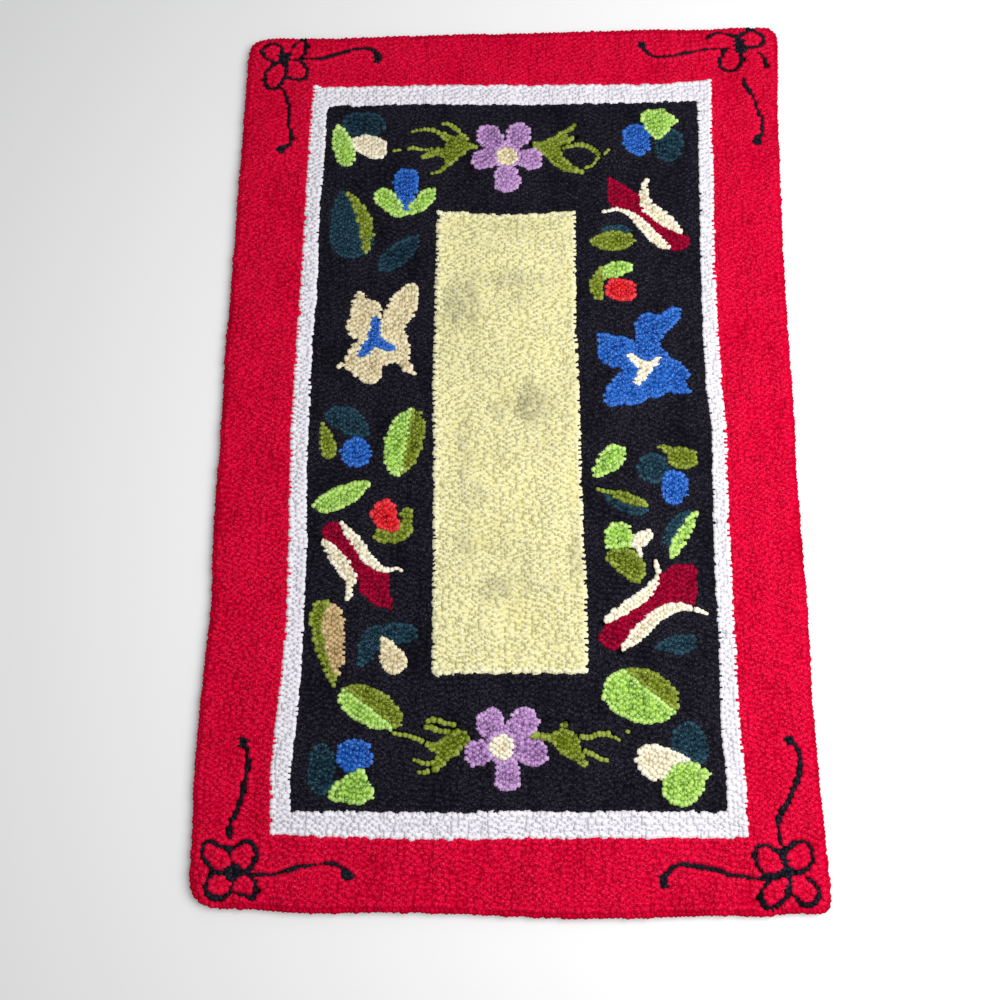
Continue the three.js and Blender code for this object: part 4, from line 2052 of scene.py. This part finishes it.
@dataclass
class YarnMaterials:
    """The materials of the yarns.

    Attributes:
        soil: the colour of the dust in the yarn.
        relief: how high the ply stands, in metres.
        gloss: how much the wool shines.
        sheen_spread: how widely its soft sheen spreads.
    """

    soil: Colour = linear("8f8a70")
    relief: float = 0.00025
    gloss: float = 0.02
    sheen_spread: float = 0.5

    def __post_init__(self) -> None:
        """Builds the group that they share."""
        self.group = yarn_group()
        self.made: dict[Yarn, Material] = {}

    def of(self, yarn: Yarn) -> Material:
        """The material of a yarn, made when it is first asked for."""
        if yarn not in self.made:
            self.made[yarn] = self.build(yarn)
        return self.made[yarn]

    def build(self, yarn: Yarn) -> Material:
        """Makes the material of a yarn.

        Args:
            yarn: the yarn.

        Returns:
            Its material.
        """
        finish = yarn.value
        material, nodes, shader = new_material(f"{yarn.name.lower()}_wool")
        look = nodes.use(self.group, {
            "Along yarn": nodes.add("UVMap", uv_map="yarn").outputs[0],
            "Place": nodes.place(),
            "Shade": nodes.attribute("shade"),
            "Soil": nodes.attribute("soil"),
            # the rim attribute, ridge weight, glint colour and deep colour set the painted highlights and
            # painted shade
            "Rim": nodes.attribute("rim"),
            "Ridge": finish.ridge,
            "Glint colour": linear(finish.glint),
            "Tip colour": linear(finish.tip),
            "Deep colour": linear(finish.deep),
            "Soil colour": self.soil,
        })
        nodes.feed(shader.inputs["Base Color"], look.outputs["Color"])
        nodes.feed(shader.inputs["Roughness"], look.outputs["Roughness"])
        shader.inputs["Specular IOR Level"].default_value = self.gloss
        shader.inputs["Sheen Weight"].default_value = finish.sheen
        shader.inputs["Sheen Roughness"].default_value = self.sheen_spread
        shader.inputs["Sheen Tint"].default_value = linear(finish.tip)
        add_bump(nodes, shader, look.outputs["Height"], self.relief)
        return material


# ---- The cloth and its underside ----


def points_of(parts: Sequence[object]) -> list[BMVert]:
    """The points among the parts of a mesh that an operator has made."""
    return [part for part in parts if isinstance(part, BMVert)]


@dataclass
class Foundation:
    """The jute cloth that the yarn is hooked through, with its edge turned under as a hem.

    Attributes:
        outline: the rug's edge.
        look: the cloth's finish.
        edge_room: how far inside the pile the cloth ends, in millimetres.
        hem_width: width of the turned edge.
        hem_thick: how far it stands down from the cloth.
        top: height of the cloth's upper side.
        shade: how far down from there the dark between the loops reaches.
        fold_reach: how many points of the hem beside a corner say where it folds.
    """

    outline: Outline
    look: JuteLook = JuteLook()
    edge_room: float = 2.6
    hem_width: float = 20.0
    hem_thick: float = 0.8
    top: float = 2.2
    shade: float = 0.2
    fold_reach: int = 4

    def build(self) -> Object:
        """Builds and dresses the cloth.

        Returns:
            The cloth, as one closed sheet.
        """
        level = self.hem_thick * MM
        bm = bmesh.new()
        edge = [bm.verts.new((x * MM, y * MM, level)) for x, y in self.outline.inset(self.edge_room)]
        bottom = bm.faces.new(edge)
        bottom.normal_update()
        raised = bmesh.ops.extrude_face_region(bm, geom=[bottom])["geom"]
        bmesh.ops.translate(bm, verts=points_of(raised), vec=(0, 0, (self.top - self.hem_thick) * MM))
        bmesh.ops.inset_region(bm, faces=[bottom], thickness=self.hem_width * MM, depth=0,
                               use_even_offset=True)
        self.fold_corners(bm, list(bottom.verts))
        hem = [f for f in bm.faces if f is not bottom and all(abs(v.co.z - level) < HAIR for v in f.verts)]
        down = bmesh.ops.extrude_face_region(bm, geom=hem)["geom"]
        bmesh.ops.delete(bm, geom=hem, context="FACES")
        bmesh.ops.translate(bm, verts=points_of(down), vec=(0, 0, -level))
        bmesh.ops.remove_doubles(bm, verts=bm.verts, dist=HAIR)
        bmesh.ops.triangulate(bm, faces=bm.faces)
        bmesh.ops.recalc_face_normals(bm, faces=bm.faces)
        cloth = placed(finished(bm, "foundation_cloth"), self.look.material((self.top - self.shade) * MM))
        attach(cloth, BODY)
        return cloth

    def fold_corners(self, bm: BMesh, inner: list[BMVert]) -> None:
        """Brings the hem's inner edge to one point at each corner, where its two sides meet.

        Args:
            bm: the cloth.
            inner: the points of the hem's inner edge.
        """
        slack = 0.5
        spots = np.array([v.co[:2] for v in inner]) / MM
        distance, _ = self.outline.rim(spots[:, 0], spots[:, 1])
        crossed = distance < self.edge_room + self.hem_width - slack
        for side in (-1, 1):
            for end in (-1, 1):
                here = (spots[:, 0] * side > 0) & (spots[:, 1] * end > 0)
                gone = np.flatnonzero(here & crossed)
                sound = np.flatnonzero(here & ~crossed)
                if not len(gone):
                    continue
                away = np.hypot(*(spots[sound] - spots[gone].mean(axis=0)).T)
                near = np.abs(spots[sound[np.argsort(away)[:self.fold_reach]]]).max(axis=0)
                point = (side * near[0] * MM, end * near[1] * MM, self.hem_thick * MM)
                bmesh.ops.pointmerge(bm, verts=[inner[i] for i in gone], merge_co=point)


@dataclass
class FlatStitches:
    """The underside of the hooking: each row shows as a line of flat stitches in its own yarn.

    Attributes:
        hooking: how the rows run.
        look: the stitches' finish.
        edge_room: how far inside the edge the stitches end, under the hem.
        level: height of the stitches' lower side, in millimetres.
        tuck: how far their edge reaches up into the cloth.
    """

    hooking: Hooking
    look: StitchLook = StitchLook()
    edge_room: float = 19.0
    level: float = 0.45
    tuck: float = 0.6

    def build(self) -> Object:
        """Builds and dresses the stitches, one face for each.

        Returns:
            The stitches, as one mesh.
        """
        outline = self.hooking.outline
        rows = int(self.hooking.lanes()[-1])
        ranks = round(2 * outline.half[1] / self.hooking.loop_step)
        bm = bmesh.new()
        uv_layer = bm.loops.layers.uv.new("stitch")
        bmesh.ops.create_grid(bm, x_segments=rows, y_segments=ranks, size=0.5, calc_uvs=False)
        for face in bm.faces:
            for corner in face.loops:
                spot = corner.vert.co
                corner[uv_layer].uv = ((spot.x + 0.5) * rows, (spot.y + 0.5) * ranks)
        share = np.array([v.co[:2] for v in bm.verts]) + 0.5
        y = (share[:, 1] * 2 - 1) * outline.half[1]
        x = self.hooking.row_x(share[:, 0] * rows, y)
        for vert, px, py in zip(bm.verts, x, y):
            vert.co = (px * MM, py * MM, self.level * MM)
        middle = np.array([f.calc_center_median()[:2] for f in bm.faces]) / MM
        distance, _ = outline.rim(middle[:, 0], middle[:, 1])
        keep = outline.inside(middle[:, 0], middle[:, 1]) & (distance > self.edge_room)
        bmesh.ops.delete(bm, geom=[f for f, k in zip(bm.faces, keep) if not k], context="FACES")
        rim = [e for e in bm.edges if e.is_boundary]
        tucked = bmesh.ops.extrude_edge_only(bm, edges=rim)["geom"]
        bmesh.ops.translate(bm, verts=points_of(tucked), vec=(0, 0, self.tuck * MM))
        bmesh.ops.recalc_face_normals(bm, faces=bm.faces)
        if sum(f.normal.z for f in bm.faces) > 0:
            bmesh.ops.reverse_faces(bm, faces=bm.faces)
        mesh = finished(bm, "flat_stitches")
        self.dye(mesh)
        stitches = placed(mesh, self.look.material())
        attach(stitches, BODY)
        return stitches

    def dye(self, mesh: Mesh) -> None:
        """Gives each stitch the colour of its yarn.

        Args:
            mesh: the stitches.
        """
        middle = np.array([p.center for p in mesh.polygons]) / MM
        yarn = self.hooking.drawing.yarns_at(middle[:, 0], middle[:, 1])
        palette = np.array([linear(y.value.tip) for y in YARNS]) * self.look.worn
        colours = palette[yarn] * Seed.STITCHES.draws().uniform(*self.look.uneven, (len(yarn), 1))
        sizes = np.array([p.loop_total for p in mesh.polygons])
        attribute = mesh.color_attributes.new("dye", "FLOAT_COLOR", "CORNER")
        attribute.data.foreach_set("color", np.repeat(colours, sizes, axis=0).astype(np.float32).ravel())


# ---- The studio ----


@dataclass(frozen=True)
class Lamp:
    """A soft square light that faces the rug: where it hangs, its side, its watts and its tint."""

    name: str
    place: Place
    size: float
    watts: float
    tint: Place

    def build(self) -> Object:
        """Hangs the light.

        Returns:
            The light.
        """
        data = bpy.data.lights.new(self.name, "AREA")
        data.size = self.size
        data.energy = self.watts
        data.color = self.tint
        lamp = bpy.data.objects.new(self.name, data)
        aim = Vector(self.place).to_track_quat("Z", "Y").to_matrix().to_4x4()
        lamp.matrix_world = Matrix.Translation(self.place) @ aim
        bpy.context.scene.collection.objects.link(lamp)
        return lamp


@dataclass
class Studio:
    """The floor, the light, the sky and the camera.

    Attributes:
        azimuth: direction of the view in degrees; 0 looks along the rug.
        elevation: how steeply the camera looks down, in degrees.
        roll: its turn about its line of sight, in degrees.
        distance: how far it is from the point it looks at, in metres.
        target: that point, in metres.
        lens: focal length for a sensor 36 mm wide.
        seen: the nearest and the farthest that it sees, in metres.
        floor_half: half the length of the floor's sides, in metres.
        floor_colour: the floor's colour.
        sky_colour: the sky's colour.
        sky_strength: how bright the sky is.
        key: the light.
    """

    azimuth: float = -10.06
    elevation: float = 78.1
    roll: float = -9.97
    distance: float = 0.96
    target: Place = (-0.0066, -0.073, 0.007)
    lens: float = 33.5
    seen: Point = (0.01, 50.0)
    floor_half: float = 4.0
    floor_colour: Colour = (0.95, 0.95, 0.95, 1)
    sky_colour: Colour = (0.97, 0.98, 1.0, 1)
    sky_strength: float = 0.42
    key: Lamp = Lamp("key", (0.63, -0.07, 0.98), 0.9, 14.2, (1.0, 0.99, 0.98))

    def camera(self) -> Object:
        """Sets up the camera.

        Returns:
            The camera.
        """
        turn, climb = math.radians(self.azimuth), math.radians(self.elevation)
        level = math.cos(climb)
        forward = Vector((math.sin(turn) * level, math.cos(turn) * level, -math.sin(climb)))
        across = forward.cross(Vector((0, 0, 1))).normalized()
        upright = across.cross(forward)
        rolled = Matrix.Rotation(math.radians(-self.roll), 3, forward)
        axes = Matrix((rolled @ across, rolled @ upright, -forward)).transposed().to_4x4()
        data = bpy.data.cameras.new("camera")
        data.lens = self.lens
        data.sensor_width = 36.0
        data.clip_start, data.clip_end = self.seen
        camera = bpy.data.objects.new("camera", data)
        camera.matrix_world = Matrix.Translation(Vector(self.target) - forward * self.distance) @ axes
        bpy.context.scene.collection.objects.link(camera)
        bpy.context.scene.camera = camera
        return camera

    def floor(self) -> Object:
        """Lays a plain pale floor.

        Returns:
            The floor.
        """
        bm = bmesh.new()
        bmesh.ops.create_grid(bm, x_segments=1, y_segments=1, size=self.floor_half)
        material, _, shader = new_material("pale_floor")
        shader.inputs["Base Color"].default_value = self.floor_colour
        floor = placed(finished(bm, "floor"), material)
        return floor

    def build(self) -> None:
        """Sets up the camera, the floor, the light and the sky."""
        self.camera()
        self.floor()
        self.key.build()
        world = bpy.data.worlds.new("sky")
        world.use_nodes = True
        sky = world.node_tree.nodes["Background"]
        sky.inputs["Color"].default_value = self.sky_colour
        sky.inputs["Strength"].default_value = self.sky_strength
        bpy.context.scene.world = world
        bpy.context.scene.view_settings.view_transform = "Standard"


def main() -> None:
    """Builds the studio and the rug."""
    logging.basicConfig(level=logging.INFO, format="%(message)s")
    Studio().build()

    outline = Outline(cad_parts[RUG_NODE])
    hooking = Hooking(outline, Drawing())
    loops = hooking.hook()
    log.info("hooked %d loops in %d long rows", len(loops.x), hooking.lanes()[-1])

    pile = Pile(outline, loops).build(YarnMaterials())
    stitches = FlatStitches(hooking).build()
    cloth = Foundation(outline).build()
    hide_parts(RUG_NODE)


if __name__ == "__main__":
    main()
